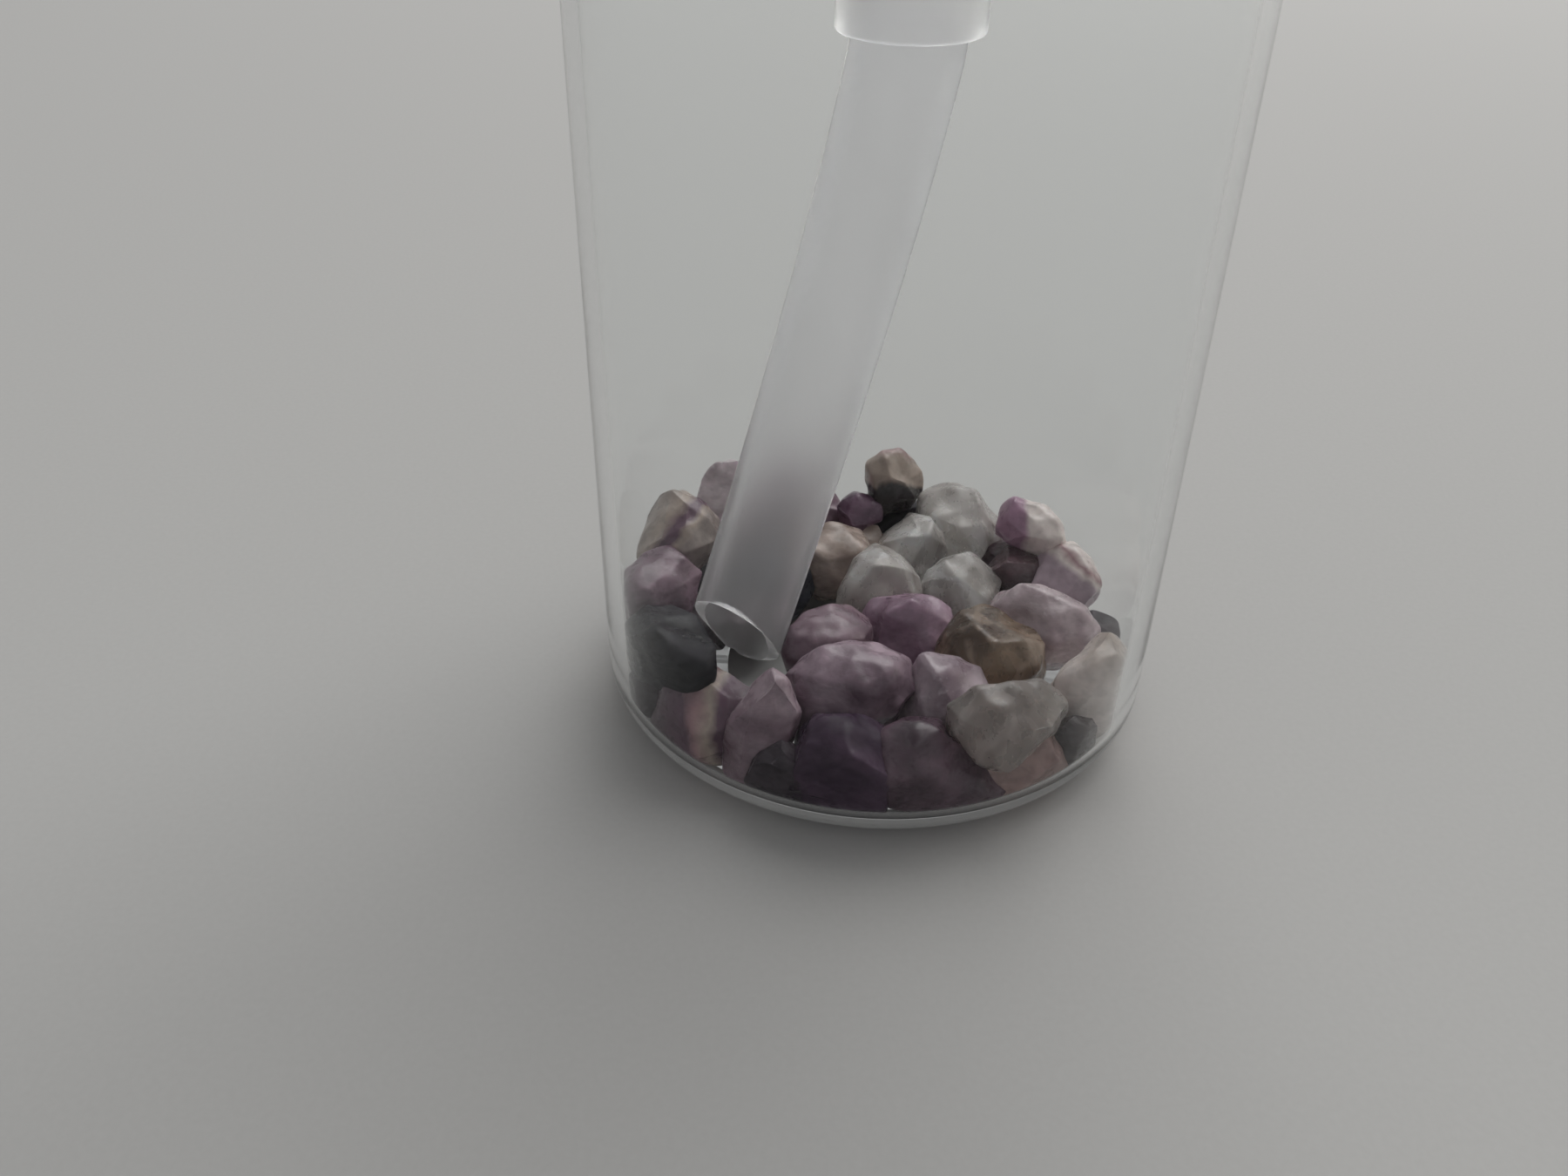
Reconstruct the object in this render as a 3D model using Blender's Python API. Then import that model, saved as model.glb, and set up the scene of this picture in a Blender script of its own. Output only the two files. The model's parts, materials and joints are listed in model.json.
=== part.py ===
"""A small clear spray bottle with a bed of tumbled amethyst chips under its dip tube.

The bottle stands on the XY plane with its axis on Z. Every size is in metres.
The pump pieces are drawn from the mouth plane of the bottle, so they follow it.
"""

import math
import random

import bmesh
import bpy
from mathutils import Euler, Vector
from mathutils.bvhtree import BVHTree

MM = 0.001

# Bottle
BOTTLE_OUTER_D = 36.0 * MM
BOTTLE_WALL = 0.9 * MM
BODY_HEIGHT = 50.0 * MM  # floor to the start of the shoulder
HEEL_RADIUS = 3.0 * MM  # outer rounding between base and side
PUSH_UP = 0.8 * MM  # rise of the middle of the base
STANDING_RING_WIDTH = 5.0 * MM
SHOULDER_RISE = 9.0 * MM
NECK_BORE_D = 18.6 * MM
NECK_WALL = 1.45 * MM
NECK_BEAD_OUT = 2.2 * MM
NECK_BEAD_HEIGHT = 1.6 * MM
NECK_BEAD_CLEARANCE = 1.8 * MM  # closure's lower edge to the bead under it
NECK_BELOW_BEAD = 2.6 * MM  # bead to the shoulder

# Screw thread between neck and closure
THREAD_PITCH = 3.175 * MM
THREAD_TURNS = 1.5
THREAD_DEPTH = 1.1 * MM
THREAD_ROOT_WIDTH = 1.5 * MM
THREAD_CREST_WIDTH = 0.7 * MM
THREAD_START = 2.0 * MM  # mouth to the upper end of the neck's ridge
THREAD_BITE = 0.35 * MM  # how deep a ridge is rooted in its wall
THREAD_CLEARANCE = 0.4 * MM  # crest to the facing root

# Clearances
SEAT_GAP = 0.3 * MM  # between faces that bear on each other
SLIDE_GAP = 0.15 * MM  # around a sliding piece
PUSH_GAP = 0.15 * MM  # around a pushed-in piece
CHIP_GAP = 0.3 * MM  # around each chip

# Pump
GASKET_THICKNESS = 0.8 * MM
FLANGE_THICKNESS = 1.4 * MM
CHAMBER_BORE_D = 9.2 * MM
CHAMBER_WALL = 1.2 * MM
CHAMBER_DEPTH = 24.0 * MM  # mouth to the spring's ledge
CHAMBER_RISE = 5.6 * MM  # mouth to the open top of the housing
BALL_D = 4.0 * MM
CAGE_CLEARANCE = 0.5 * MM  # ball to the side of its cage
CAGE_DEPTH = 3.0 * MM
INLET_D = 2.6 * MM
INLET_LENGTH = 1.0 * MM
SOCKET_DEPTH = 6.3 * MM
TAIL_WALL = 0.75 * MM
STEM_D = 4.4 * MM
STEM_BORE_D = 2.2 * MM
STEM_FOOT_THICKNESS = 0.8 * MM
PISTON_HEIGHT = 3.2 * MM
PISTON_WAIST = 0.5 * MM  # how far the middle is drawn in
STROKE = 4.5 * MM
SPRING_WIRE_D = 0.7 * MM
SPRING_TURNS = 6
SPRING_LENGTH = 11.2 * MM
TURRET_WALL = 1.2 * MM
TURRET_ROOF = 1.6 * MM
TURRET_LIP_OUT = 2.1 * MM
TURRET_LIP_THICKNESS = 1.1 * MM
GUIDE_WALL = 1.1 * MM
GUIDE_HEIGHT = 4.0 * MM

# Closure, actuator and overcap
CLOSURE_PLATE = 1.7 * MM
CLOSURE_WALL = 1.3 * MM
CLOSURE_SKIRT = 12.0 * MM  # mouth to the bottom edge
CLOSURE_RIBS = 32
RIB_DEPTH = 0.35 * MM
UPSTAND_HEIGHT = 2.4 * MM
UPSTAND_WALL = 1.0 * MM
ACTUATOR_CLEARANCE = 1.8 * MM  # guide to the inside of the skirt
ACTUATOR_WALL = 1.6 * MM
ACTUATOR_SKIRT = 5.6 * MM  # open skirt below the head
ACTUATOR_HEAD = 6.5 * MM
ACTUATOR_DISH = 0.8 * MM
ACTUATOR_EDGE = 0.9 * MM
BOSS_WALL = 1.25 * MM
NOZZLE_D = 3.5 * MM
NOZZLE_LENGTH = 3.0 * MM
NOZZLE_ORIFICE_D = 0.6 * MM
CHANNEL_D = 1.6 * MM
OVERCAP_WALL = 1.1 * MM
OVERCAP_HEADROOM = 3.4 * MM
OVERCAP_EDGE = 2.6 * MM

# Dip tube
TUBE_OUTER_D = 6.2 * MM
TUBE_WALL = 0.7 * MM
TUBE_END_HEIGHT = 4.5 * MM  # middle of the cut end above the table
TUBE_WALL_MARGIN = 3.5 * MM  # cut end to the side of the bottle
TUBE_HEADING = 205.0  # degrees, the way the free end bends
TUBE_BEND = 1.15  # how late the bend comes: 1 is straight
TUBE_PROBE = 0.2 * MM  # step for reading the centre line's slope

# Facets
ROUND_SEGMENTS = 36
SMALL_SEGMENTS = 24
TUBE_SEGMENTS = 16
TUBE_STEPS = 12
THREAD_STEPS = 24  # per turn

# Chips, from the floor up: x, y, length, width and height in millimetres, then
# heading, pitch and roll in degrees, then the kind of stone. The table is laid out
# for one inner radius of the bottle, and the bed spreads or shrinks with that radius.
CHIP_TABLE_R = 17.1
CHIPS = (
    (-12.6, 6.0, 5.2, 4.8, 3.6, 70, 0, 8, "grape"),
    (-9.4, 10.6, 5.0, 4.6, 4.0, 130, 8, 0, "lilac"),
    (-5.4, 12.7, 5.4, 4.4, 4.4, 15, 0, -8, "grape"),
    (2.0, 14.2, 4.8, 4.2, 3.0, -10, 0, 0, "slate"),
    (7.0, 12.3, 5.6, 4.6, 4.8, -30, 6, 0, "quartz"),
    (11.6, 9.6, 3.6, 3.4, 2.6, -55, 0, 0, "grape"),
    (13.9, 5.0, 3.8, 4.6, 4.0, 10, 0, 10, "lilac"),
    (15.6, -1.0, 2.2, 2.8, 2.8, -8, 0, 0, "slate"),
    (13.9, -8.2, 2.6, 3.6, 5.8, -30, 10, 0, "sand"),
    (11.7, -11.7, 1.8, 1.8, 2.0, 10, 0, 0, "slate"),
    (8.0, -12.3, 5.0, 4.0, 2.8, 36, 0, 6, "sand"),
    (3.2, -15.0, 5.2, 4.0, 3.6, 12, 0, 10, "grape"),
    (-2.4, -14.6, 4.8, 3.8, 4.0, -8, 0, 0, "grape"),
    (-7.5, -12.3, 2.8, 3.2, 6.2, 0, -14, 24, "lilac"),
    (-6.2, -14.4, 1.8, 1.8, 2.0, 20, 0, 0, "slate"),
    (-11.0, -9.8, 4.8, 4.0, 4.0, -42, 8, 0, "banded"),
    (-16.0, -2.2, 2.0, 4.4, 3.2, 8, 0, 0, "sand"),
    (-12.9, -7.6, 5.4, 3.0, 2.8, -56, 0, 0, "slate"),
    (-13.9, -6.6, 3.0, 2.6, 2.8, 60, 0, 0, "slate"),
    (-11.8, 1.6, 4.4, 4.0, 3.0, 30, 0, 0, "grape"),
    (-7.4, 5.2, 5.0, 4.6, 4.0, -20, 0, 6, "grape"),
    (-3.0, 6.6, 4.2, 4.4, 4.2, 40, 0, 0, "sand"),
    (-0.6, 10.2, 2.8, 2.8, 3.2, 20, 0, 0, "sand"),
    (-0.8, 11.2, 2.5, 2.5, 2.4, 30, 0, 0, "grape"),
    (3.0, 9.5, 4.0, 3.8, 4.6, 20, 14, 0, "quartz"),
    (10.3, 6.0, 3.2, 3.2, 3.8, 25, 0, -8, "slate"),
    (6.4, 3.6, 4.8, 4.0, 3.8, 15, 0, 6, "quartz"),
    (0.3, 4.0, 5.0, 4.4, 4.6, 30, 0, 10, "quartz"),
    (2.4, -1.4, 5.4, 4.0, 4.0, -12, 8, 0, "grape"),
    (-3.3, -3.8, 6.0, 4.0, 4.4, 35, 0, 10, "lilac"),
    (7.4, -4.6, 5.0, 4.8, 4.6, 30, 10, 0, "amber"),
    (4.6, -8.4, 4.6, 4.2, 4.6, 20, 0, 8, "grape"),
    (-2.0, -8.8, 6.8, 4.8, 5.4, -6, 10, 0, "grape"),
    (10.8, -1.4, 6.6, 4.8, 5.2, -18, 6, 0, "lilac"),
    (7.2, -12.6, 6.0, 4.0, 3.8, 32, 0, 6, "quartz"),
    (-13.6, 4.4, 5.2, 5.0, 5.4, 60, 18, 0, "banded"),
    (-14.6, -1.6, 4.6, 4.0, 3.8, 80, 0, 10, "grape"),
    (-10.3, 10.0, 4.2, 4.0, 4.6, 40, 0, 12, "lilac"),
    (-6.0, 11.2, 4.4, 4.0, 3.6, 10, 10, 0, "grape"),
    (1.9, 13.2, 3.8, 3.6, 4.6, 10, 0, 8, "banded"),
    (11.8, 8.4, 4.6, 3.6, 3.7, -42, 0, 12, "banded"),
    (-7.8, 1.2, 4.0, 3.6, 3.2, 0, 0, 0, "slate"),
)
CHIP_CUTS = 8  # flats knocked off each chip
CHIP_FLATS = (0.62, 0.92)  # nearest and farthest flat, as shares of the half size
CHIP_STEP = 0.1 * MM  # how finely a chip's resting height is found
CHIP_SLIP = 0.7 * MM  # step by which a chip slips sideways as it settles
CHIP_SLIPS = 2  # slips it may take to lie lower
CHIP_WAYS = 8  # directions it may slip in
BED_DEPTH = 13.0 * MM  # a chip that would stand above this slips further

# Sizes that follow from the ones above
BOTTLE_R = BOTTLE_OUTER_D / 2
INNER_R = BOTTLE_R - BOTTLE_WALL
BEAD_DROP = CLOSURE_SKIRT + NECK_BEAD_CLEARANCE + NECK_BEAD_HEIGHT / 2
NECK_HEIGHT = BEAD_DROP + NECK_BEAD_HEIGHT / 2 + NECK_BELOW_BEAD
MOUTH_Z = BODY_HEIGHT + SHOULDER_RISE + NECK_HEIGHT
THREAD_LIFT = THREAD_PITCH * THREAD_TURNS  # how far the closure rises as it unscrews
THREAD_DROP = THREAD_START + THREAD_LIFT
BORE_R = NECK_BORE_D / 2
NECK_R = BORE_R + NECK_WALL

CHAMBER_BORE_R = CHAMBER_BORE_D / 2
CHAMBER_R = CHAMBER_BORE_R + CHAMBER_WALL
STEM_R = STEM_D / 2
CAGE_R = BALL_D / 2 + CAGE_CLEARANCE
TUBE_R = TUBE_OUTER_D / 2
SOCKET_R = TUBE_R + PUSH_GAP
TAIL_R = SOCKET_R + TAIL_WALL

# Heights measured from the mouth of the bottle
FLANGE_Z = 2 * SEAT_GAP + GASKET_THICKNESS
PLATE_Z = FLANGE_Z + FLANGE_THICKNESS + SEAT_GAP
PLATE_TOP = PLATE_Z + CLOSURE_PLATE
LIP_Z = PLATE_TOP + SEAT_GAP
ROOF_Z = max(CHAMBER_RISE + SEAT_GAP, LIP_Z)
ROOF_TOP = max(ROOF_Z + TURRET_ROOF, LIP_Z + TURRET_LIP_THICKNESS)
GUIDE_TOP = ROOF_TOP + GUIDE_HEIGHT
SKIRT_Z = ROOF_TOP + STROKE + SEAT_GAP
HEAD_Z = max(SKIRT_Z + ACTUATOR_SKIRT, GUIDE_TOP + STROKE + SEAT_GAP)
HEAD_TOP = HEAD_Z + ACTUATOR_HEAD
STEM_TOP = HEAD_Z + SEAT_GAP
CAGE_FLOOR = -CHAMBER_DEPTH - CAGE_DEPTH
SEAT_Z = CAGE_FLOOR - (CAGE_R - INLET_D / 2)
SOCKET_TOP = SEAT_Z - INLET_LENGTH
TAIL_Z = SOCKET_TOP - SOCKET_DEPTH
SPRING_Z = -CHAMBER_DEPTH + SEAT_GAP
FOOT_Z = SPRING_Z + SPRING_LENGTH + SPRING_WIRE_D + SEAT_GAP
PISTON_Z = FOOT_Z + STEM_FOOT_THICKNESS + SEAT_GAP
NOZZLE_Z = HEAD_Z + ACTUATOR_HEAD / 2

# Radii that follow from the pieces they fit
TURRET_BORE_R = CHAMBER_R + PUSH_GAP
TURRET_R = TURRET_BORE_R + TURRET_WALL
LIP_R = TURRET_R + TURRET_LIP_OUT
PLATE_BORE_R = TURRET_R + SEAT_GAP
GUIDE_BORE_R = STEM_R + BOSS_WALL + PUSH_GAP + 2 * SLIDE_GAP
GUIDE_R = GUIDE_BORE_R + GUIDE_WALL
BOSS_R = STEM_R + PUSH_GAP + BOSS_WALL
SKIRT_R = NECK_R + THREAD_DEPTH + THREAD_CLEARANCE
CLOSURE_R = SKIRT_R + CLOSURE_WALL
UPSTAND_R = CLOSURE_R - CLOSURE_WALL - RIB_DEPTH
OVERCAP_BORE_R = UPSTAND_R + SEAT_GAP
ACTUATOR_BORE_R = GUIDE_R + ACTUATOR_CLEARANCE
ACTUATOR_R = ACTUATOR_BORE_R + ACTUATOR_WALL
OVERCAP_Z = PLATE_TOP + SEAT_GAP
OVERCAP_TOP = HEAD_TOP + OVERCAP_HEADROOM

PALETTE = {
    "clear_pet": ((0.90, 0.93, 0.94, 0.30), 0.05),
    "natural_pe": ((0.80, 0.83, 0.87, 0.75), 0.35),
    "natural_pp": ((0.86, 0.87, 0.86, 0.85), 0.35),
    "white_pp": ((0.86, 0.86, 0.84, 1.0), 0.40),
    "clear_ps": ((0.92, 0.94, 0.95, 0.30), 0.04),
    "grey_pe": ((0.62, 0.63, 0.63, 1.0), 0.55),
    "steel": ((0.62, 0.62, 0.61, 1.0), 0.25),
    "grape": ((0.27, 0.19, 0.30, 1.0), 0.30),
    "lilac": ((0.52, 0.45, 0.53, 1.0), 0.30),
    "quartz": ((0.56, 0.56, 0.54, 1.0), 0.25),
    "banded": ((0.48, 0.43, 0.41, 1.0), 0.30),
    "slate": ((0.15, 0.15, 0.17, 1.0), 0.32),
    "sand": ((0.55, 0.48, 0.43, 1.0), 0.32),
    "amber": ((0.46, 0.39, 0.28, 1.0), 0.26),
}


def clear_scene():
    for old in list(bpy.data.objects):
        bpy.data.objects.remove(old, do_unlink=True)
    for old in list(bpy.data.meshes):
        bpy.data.meshes.remove(old)


def make_materials():
    made = {}
    for name, (colour, roughness) in PALETTE.items():
        mat = bpy.data.materials.new(name)
        mat.use_nodes = True
        shader = mat.node_tree.nodes["Principled BSDF"]
        shader.inputs["Base Color"].default_value = (*colour[:3], 1.0)
        shader.inputs["Alpha"].default_value = colour[3]
        shader.inputs["Roughness"].default_value = roughness
        shader.inputs["Metallic"].default_value = 1.0 if name == "steel" else 0.0
        made[name] = mat
    return made


def add_object(name, bm, material, location=(0, 0, 0), rotation=(0, 0, 0), parent=None):
    mesh = bpy.data.meshes.new(name)
    bm.to_mesh(mesh)
    bm.free()
    obj = bpy.data.objects.new(name, mesh)
    bpy.context.scene.collection.objects.link(obj)
    mesh.materials.append(material)
    mesh.shade_smooth()
    mesh.set_sharp_from_angle(angle=math.radians(35))
    obj.parent = parent
    obj.location = location
    obj.rotation_euler = rotation
    return obj


def add_empty(name, location):
    empty = bpy.data.objects.new(name, None)
    bpy.context.scene.collection.objects.link(empty)
    empty.location = location
    return empty


def curve_points(centre, radii, start, end, steps):
    """Points along part of an ellipse, with angles in degrees."""
    points = []
    for i in range(steps + 1):
        angle = math.radians(start + (end - start) * i / steps)
        r = centre[0] + radii[0] * math.cos(angle)
        z = centre[1] + radii[1] * math.sin(angle)
        points.append((max(r, 0.0), z))
    return points


def turned(profile, segments):
    """Spins a profile of (radius, height) points round Z into a closed body."""
    bm = bmesh.new()
    verts = [bm.verts.new((r, 0.0, z)) for r, z in profile]
    for a, b in zip(verts, verts[1:]):
        bm.edges.new((a, b))
    if profile[0][0] > 0:
        bm.edges.new((verts[-1], verts[0]))
    bmesh.ops.spin(
        bm,
        geom=bm.verts[:] + bm.edges[:],
        cent=(0, 0, 0),
        axis=(0, 0, 1),
        angle=math.tau,
        steps=segments,
        use_merge=True,
    )
    bmesh.ops.remove_doubles(bm, verts=bm.verts, dist=1e-7)
    bmesh.ops.recalc_face_normals(bm, faces=bm.faces)
    return bm


def swept(rings, closed):
    """Joins rings of points into a skin, as a closed loop or with both ends capped."""
    bm = bmesh.new()
    loops = [[bm.verts.new(p) for p in ring] for ring in rings]
    pairs = list(zip(loops, loops[1:]))
    if closed:
        pairs.append((loops[-1], loops[0]))
    for low, high in pairs:
        count = len(low)
        for i in range(count):
            j = (i + 1) % count
            bm.faces.new((low[i], low[j], high[j], high[i]))
    if not closed:
        bm.faces.new(loops[0])
        bm.faces.new(loops[-1])
    bmesh.ops.recalc_face_normals(bm, faces=bm.faces)
    return bm


def thread_ridge(root, crest, root_width, crest_width, low, turns):
    """A trapezoid swept up a right-hand helix, sinking into its wall at both ends."""
    bite = math.copysign(THREAD_BITE, root - crest)
    steps = round(turns * THREAD_STEPS)
    fade_steps = THREAD_STEPS / 8
    rings = []
    for i in range(steps + 1):
        angle = math.tau * turns * i / steps
        height = low + THREAD_PITCH * turns * i / steps
        fade = min(1.0, i / fade_steps, (steps - i) / fade_steps)
        sunk = root + bite / 2
        top = sunk + (crest - sunk) * fade
        section = (
            (root + bite, -root_width / 2),
            (top, -crest_width / 2),
            (top, crest_width / 2),
            (root + bite, root_width / 2),
        )
        ring = []
        for r, dz in section:
            ring.append((r * math.cos(angle), r * math.sin(angle), height + dz))
        rings.append(ring)
    return swept(rings, closed=False)


def combine(target, other, operation):
    """Unites a helper solid with the target, or cuts it away, and hides the helper."""
    other.hide_render = True
    other.display_type = "WIRE"
    change = target.modifiers.new(other.name, "BOOLEAN")
    change.operation = operation
    change.solver = "EXACT"
    change.object = other


def bottle_profile():
    """Outer skin from the middle of the base to the mouth, then back down inside."""
    ring_out = BOTTLE_R - HEEL_RADIUS
    ring_in = max(ring_out - STANDING_RING_WIDTH, ring_out * 0.3)
    bead = MOUTH_Z - BEAD_DROP
    half = NECK_BEAD_HEIGHT / 2
    chamfer = NECK_WALL * 0.25
    points = [(0.0, PUSH_UP), (ring_in * 0.55, PUSH_UP * 0.8), (ring_in, 0.0)]
    points += curve_points((ring_out, HEEL_RADIUS), (HEEL_RADIUS, HEEL_RADIUS), -90, 0, 4)
    points += curve_points(
        (NECK_R, BODY_HEIGHT), (BOTTLE_R - NECK_R, SHOULDER_RISE), 0, 90, 6
    )
    points += [
        (NECK_R, bead - half),
        (NECK_R + NECK_BEAD_OUT, bead - half * 0.4),
        (NECK_R + NECK_BEAD_OUT, bead + half * 0.4),
        (NECK_R, bead + half),
        (NECK_R, MOUTH_Z - chamfer),
        (NECK_R - chamfer, MOUTH_Z),
        (BORE_R, MOUTH_Z),
    ]
    points += reversed(inner_profile())
    return points


def inner_profile():
    """The inside of the bottle from the middle of its floor up to the neck."""
    inner_heel = max(HEEL_RADIUS - BOTTLE_WALL, BOTTLE_WALL * 0.5)
    ring_out = INNER_R - inner_heel
    ring_in = max(BOTTLE_R - HEEL_RADIUS - STANDING_RING_WIDTH, ring_out * 0.3)
    floor = BOTTLE_WALL
    points = [(0.0, floor + PUSH_UP), (ring_in * 0.55, floor + PUSH_UP * 0.8)]
    points += [(ring_in, floor)]
    points += curve_points(
        (ring_out, floor + inner_heel), (inner_heel, inner_heel), -90, 0, 4
    )
    points += curve_points(
        (BORE_R, BODY_HEIGHT), (INNER_R - BORE_R, SHOULDER_RISE - BOTTLE_WALL), 0, 90, 6
    )
    return points


def make_bottle(mats):
    bottle = add_object("bottle", turned(bottle_profile(), ROUND_SEGMENTS), mats["clear_pet"])
    ridge = thread_ridge(
        NECK_R,
        NECK_R + THREAD_DEPTH,
        THREAD_ROOT_WIDTH,
        THREAD_CREST_WIDTH,
        MOUTH_Z - THREAD_DROP,
        THREAD_TURNS,
    )
    combine(bottle, add_object("neck_thread", ridge, mats["clear_pet"]), "UNION")
    return bottle


def tube_centre(height):
    """The dip tube's centre line: straight in its socket, bending ever more below it."""
    start = MOUTH_Z + TAIL_Z
    fall = start - height
    depth = start - TUBE_END_HEIGHT
    reach = INNER_R - TUBE_R - TUBE_WALL_MARGIN
    out = reach * max(fall / depth, 0.0) ** TUBE_BEND
    heading = math.radians(TUBE_HEADING)
    return Vector((out * math.cos(heading), out * math.sin(heading), height))


def tube_rings(radius):
    """Rings of points square to the centre line, from the socket down to the cut end."""
    top = MOUTH_Z + SOCKET_TOP - SEAT_GAP
    bottom = TUBE_END_HEIGHT
    side = Vector((-math.sin(math.radians(TUBE_HEADING)), math.cos(math.radians(TUBE_HEADING)), 0))
    rings = []
    for i in range(TUBE_STEPS + 1):
        height = top + (bottom - top) * i / TUBE_STEPS
        centre = tube_centre(height)
        along = tube_centre(height - TUBE_PROBE) - tube_centre(height + TUBE_PROBE)
        if i == 0:
            along = Vector((0, 0, -1))
        across = side.cross(along.normalized())
        ring = []
        for k in range(TUBE_SEGMENTS):
            angle = math.tau * k / TUBE_SEGMENTS
            ring.append(centre + radius * (side * math.cos(angle) + across * math.sin(angle)))
        rings.append(ring)
    return rings


def make_dip_tube(mats, pump):
    outer = tube_rings(TUBE_R)
    inner = tube_rings(TUBE_R - TUBE_WALL)
    bm = swept(outer + inner[::-1], closed=True)
    bmesh.ops.translate(bm, vec=-pump.location, verts=bm.verts)
    return add_object("dip_tube", bm, mats["natural_pe"], parent=pump)


def make_housing(mats, pump):
    profile = [
        (SOCKET_R, TAIL_Z),
        (TAIL_R, TAIL_Z),
        (TAIL_R, SOCKET_TOP + (CHAMBER_R - TAIL_R) * 0.2),
        (CHAMBER_R, CAGE_FLOOR + CAGE_DEPTH / 2),
        (CHAMBER_R, FLANGE_Z),
        (NECK_R - SLIDE_GAP, FLANGE_Z),
        (NECK_R - SLIDE_GAP, FLANGE_Z + FLANGE_THICKNESS),
        (CHAMBER_R, FLANGE_Z + FLANGE_THICKNESS),
        (CHAMBER_R, CHAMBER_RISE),
        (CHAMBER_BORE_R, CHAMBER_RISE),
        (CHAMBER_BORE_R, -CHAMBER_DEPTH),
        (CAGE_R, -CHAMBER_DEPTH),
        (CAGE_R, CAGE_FLOOR),
        (INLET_D / 2, SEAT_Z),
        (INLET_D / 2, SOCKET_TOP),
        (SOCKET_R, SOCKET_TOP),
    ]
    return add_object(
        "pump_housing", turned(profile, SMALL_SEGMENTS), mats["natural_pp"], parent=pump
    )


def make_gasket(mats, pump):
    low = SEAT_GAP
    high = low + GASKET_THICKNESS
    inner = CHAMBER_R + SLIDE_GAP
    outer = NECK_R - SLIDE_GAP
    profile = [(inner, low), (outer, low), (outer, high), (inner, high)]
    return add_object("gasket", turned(profile, SMALL_SEGMENTS), mats["grey_pe"], parent=pump)


def make_turret(mats, pump):
    hole = STEM_R + SLIDE_GAP
    profile = [
        (TURRET_BORE_R, PLATE_Z),
        (TURRET_R, PLATE_Z),
        (TURRET_R, LIP_Z),
        (LIP_R, LIP_Z),
        (LIP_R, LIP_Z + TURRET_LIP_THICKNESS * 0.6),
        (TURRET_R, ROOF_TOP),
        (GUIDE_R, ROOF_TOP),
        (GUIDE_R, GUIDE_TOP),
        (GUIDE_BORE_R, GUIDE_TOP),
        (GUIDE_BORE_R, ROOF_TOP),
        (hole, ROOF_TOP),
        (hole, ROOF_Z),
        (TURRET_BORE_R, ROOF_Z),
    ]
    return add_object("turret", turned(profile, SMALL_SEGMENTS), mats["white_pp"], parent=pump)


def make_ball(mats, pump):
    """The inlet ball rests on the cone under its cage, which slopes at 45 degrees."""
    apex = CAGE_FLOOR - CAGE_R
    centre = apex + (BALL_D / 2 + SEAT_GAP / 2) * math.sqrt(2)
    bm = bmesh.new()
    bmesh.ops.create_uvsphere(bm, u_segments=16, v_segments=8, radius=BALL_D / 2)
    return add_object("check_ball", bm, mats["steel"], (0, 0, centre), parent=pump)


def spring_centre(turn):
    radius = (CHAMBER_BORE_R + CAGE_R) / 2 - SLIDE_GAP
    angle = math.tau * turn
    height = SPRING_Z + SPRING_WIRE_D / 2 + SPRING_LENGTH * turn / SPRING_TURNS
    return Vector((radius * math.cos(angle), radius * math.sin(angle), height))


def make_spring(mats, pump):
    """One unbroken wire wound round Z, with the least gap between its turns printed."""
    per_turn = 10
    steps = SPRING_TURNS * per_turn
    rings = []
    for i in range(steps + 1):
        turn = i / per_turn
        centre = spring_centre(turn)
        outward = Vector((centre.x, centre.y, 0)).normalized()
        up = Vector((0, 0, 1))
        ring = []
        for k in range(5):
            angle = math.tau * k / 5
            offset = outward * math.cos(angle) + up * math.sin(angle)
            ring.append(centre + offset * SPRING_WIRE_D / 2)
        rings.append(ring)
    least = min(
        (spring_centre(i / per_turn) - spring_centre(j / per_turn)).length
        for i in range(steps + 1)
        for j in range(i + per_turn // 2, steps + 1)
    )
    print("return_spring least gap to itself, mm:", round((least - SPRING_WIRE_D) / MM, 3))
    bm = swept(rings, closed=False)
    return add_object("return_spring", bm, mats["steel"], parent=pump)


def make_stem(mats, pump):
    foot_r = CHAMBER_BORE_R - 3 * SLIDE_GAP
    bore = STEM_BORE_D / 2
    profile = [
        (bore, FOOT_Z),
        (foot_r, FOOT_Z),
        (foot_r, FOOT_Z + STEM_FOOT_THICKNESS),
        (STEM_R, FOOT_Z + STEM_FOOT_THICKNESS),
        (STEM_R, STEM_TOP),
        (bore, STEM_TOP),
    ]
    return add_object("stem", turned(profile, SMALL_SEGMENTS), mats["natural_pp"], parent=pump)


def make_piston(mats, pump):
    outer = CHAMBER_BORE_R - SLIDE_GAP
    waist = outer - PISTON_WAIST
    inner = STEM_R + PUSH_GAP
    profile = [
        (inner, PISTON_Z),
        (outer, PISTON_Z),
        (outer, PISTON_Z + PISTON_HEIGHT * 0.25),
        (waist, PISTON_Z + PISTON_HEIGHT * 0.4),
        (waist, PISTON_Z + PISTON_HEIGHT * 0.7),
        (outer, PISTON_Z + PISTON_HEIGHT),
        (inner, PISTON_Z + PISTON_HEIGHT),
    ]
    return add_object("piston", turned(profile, SMALL_SEGMENTS), mats["grey_pe"], parent=pump)


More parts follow.
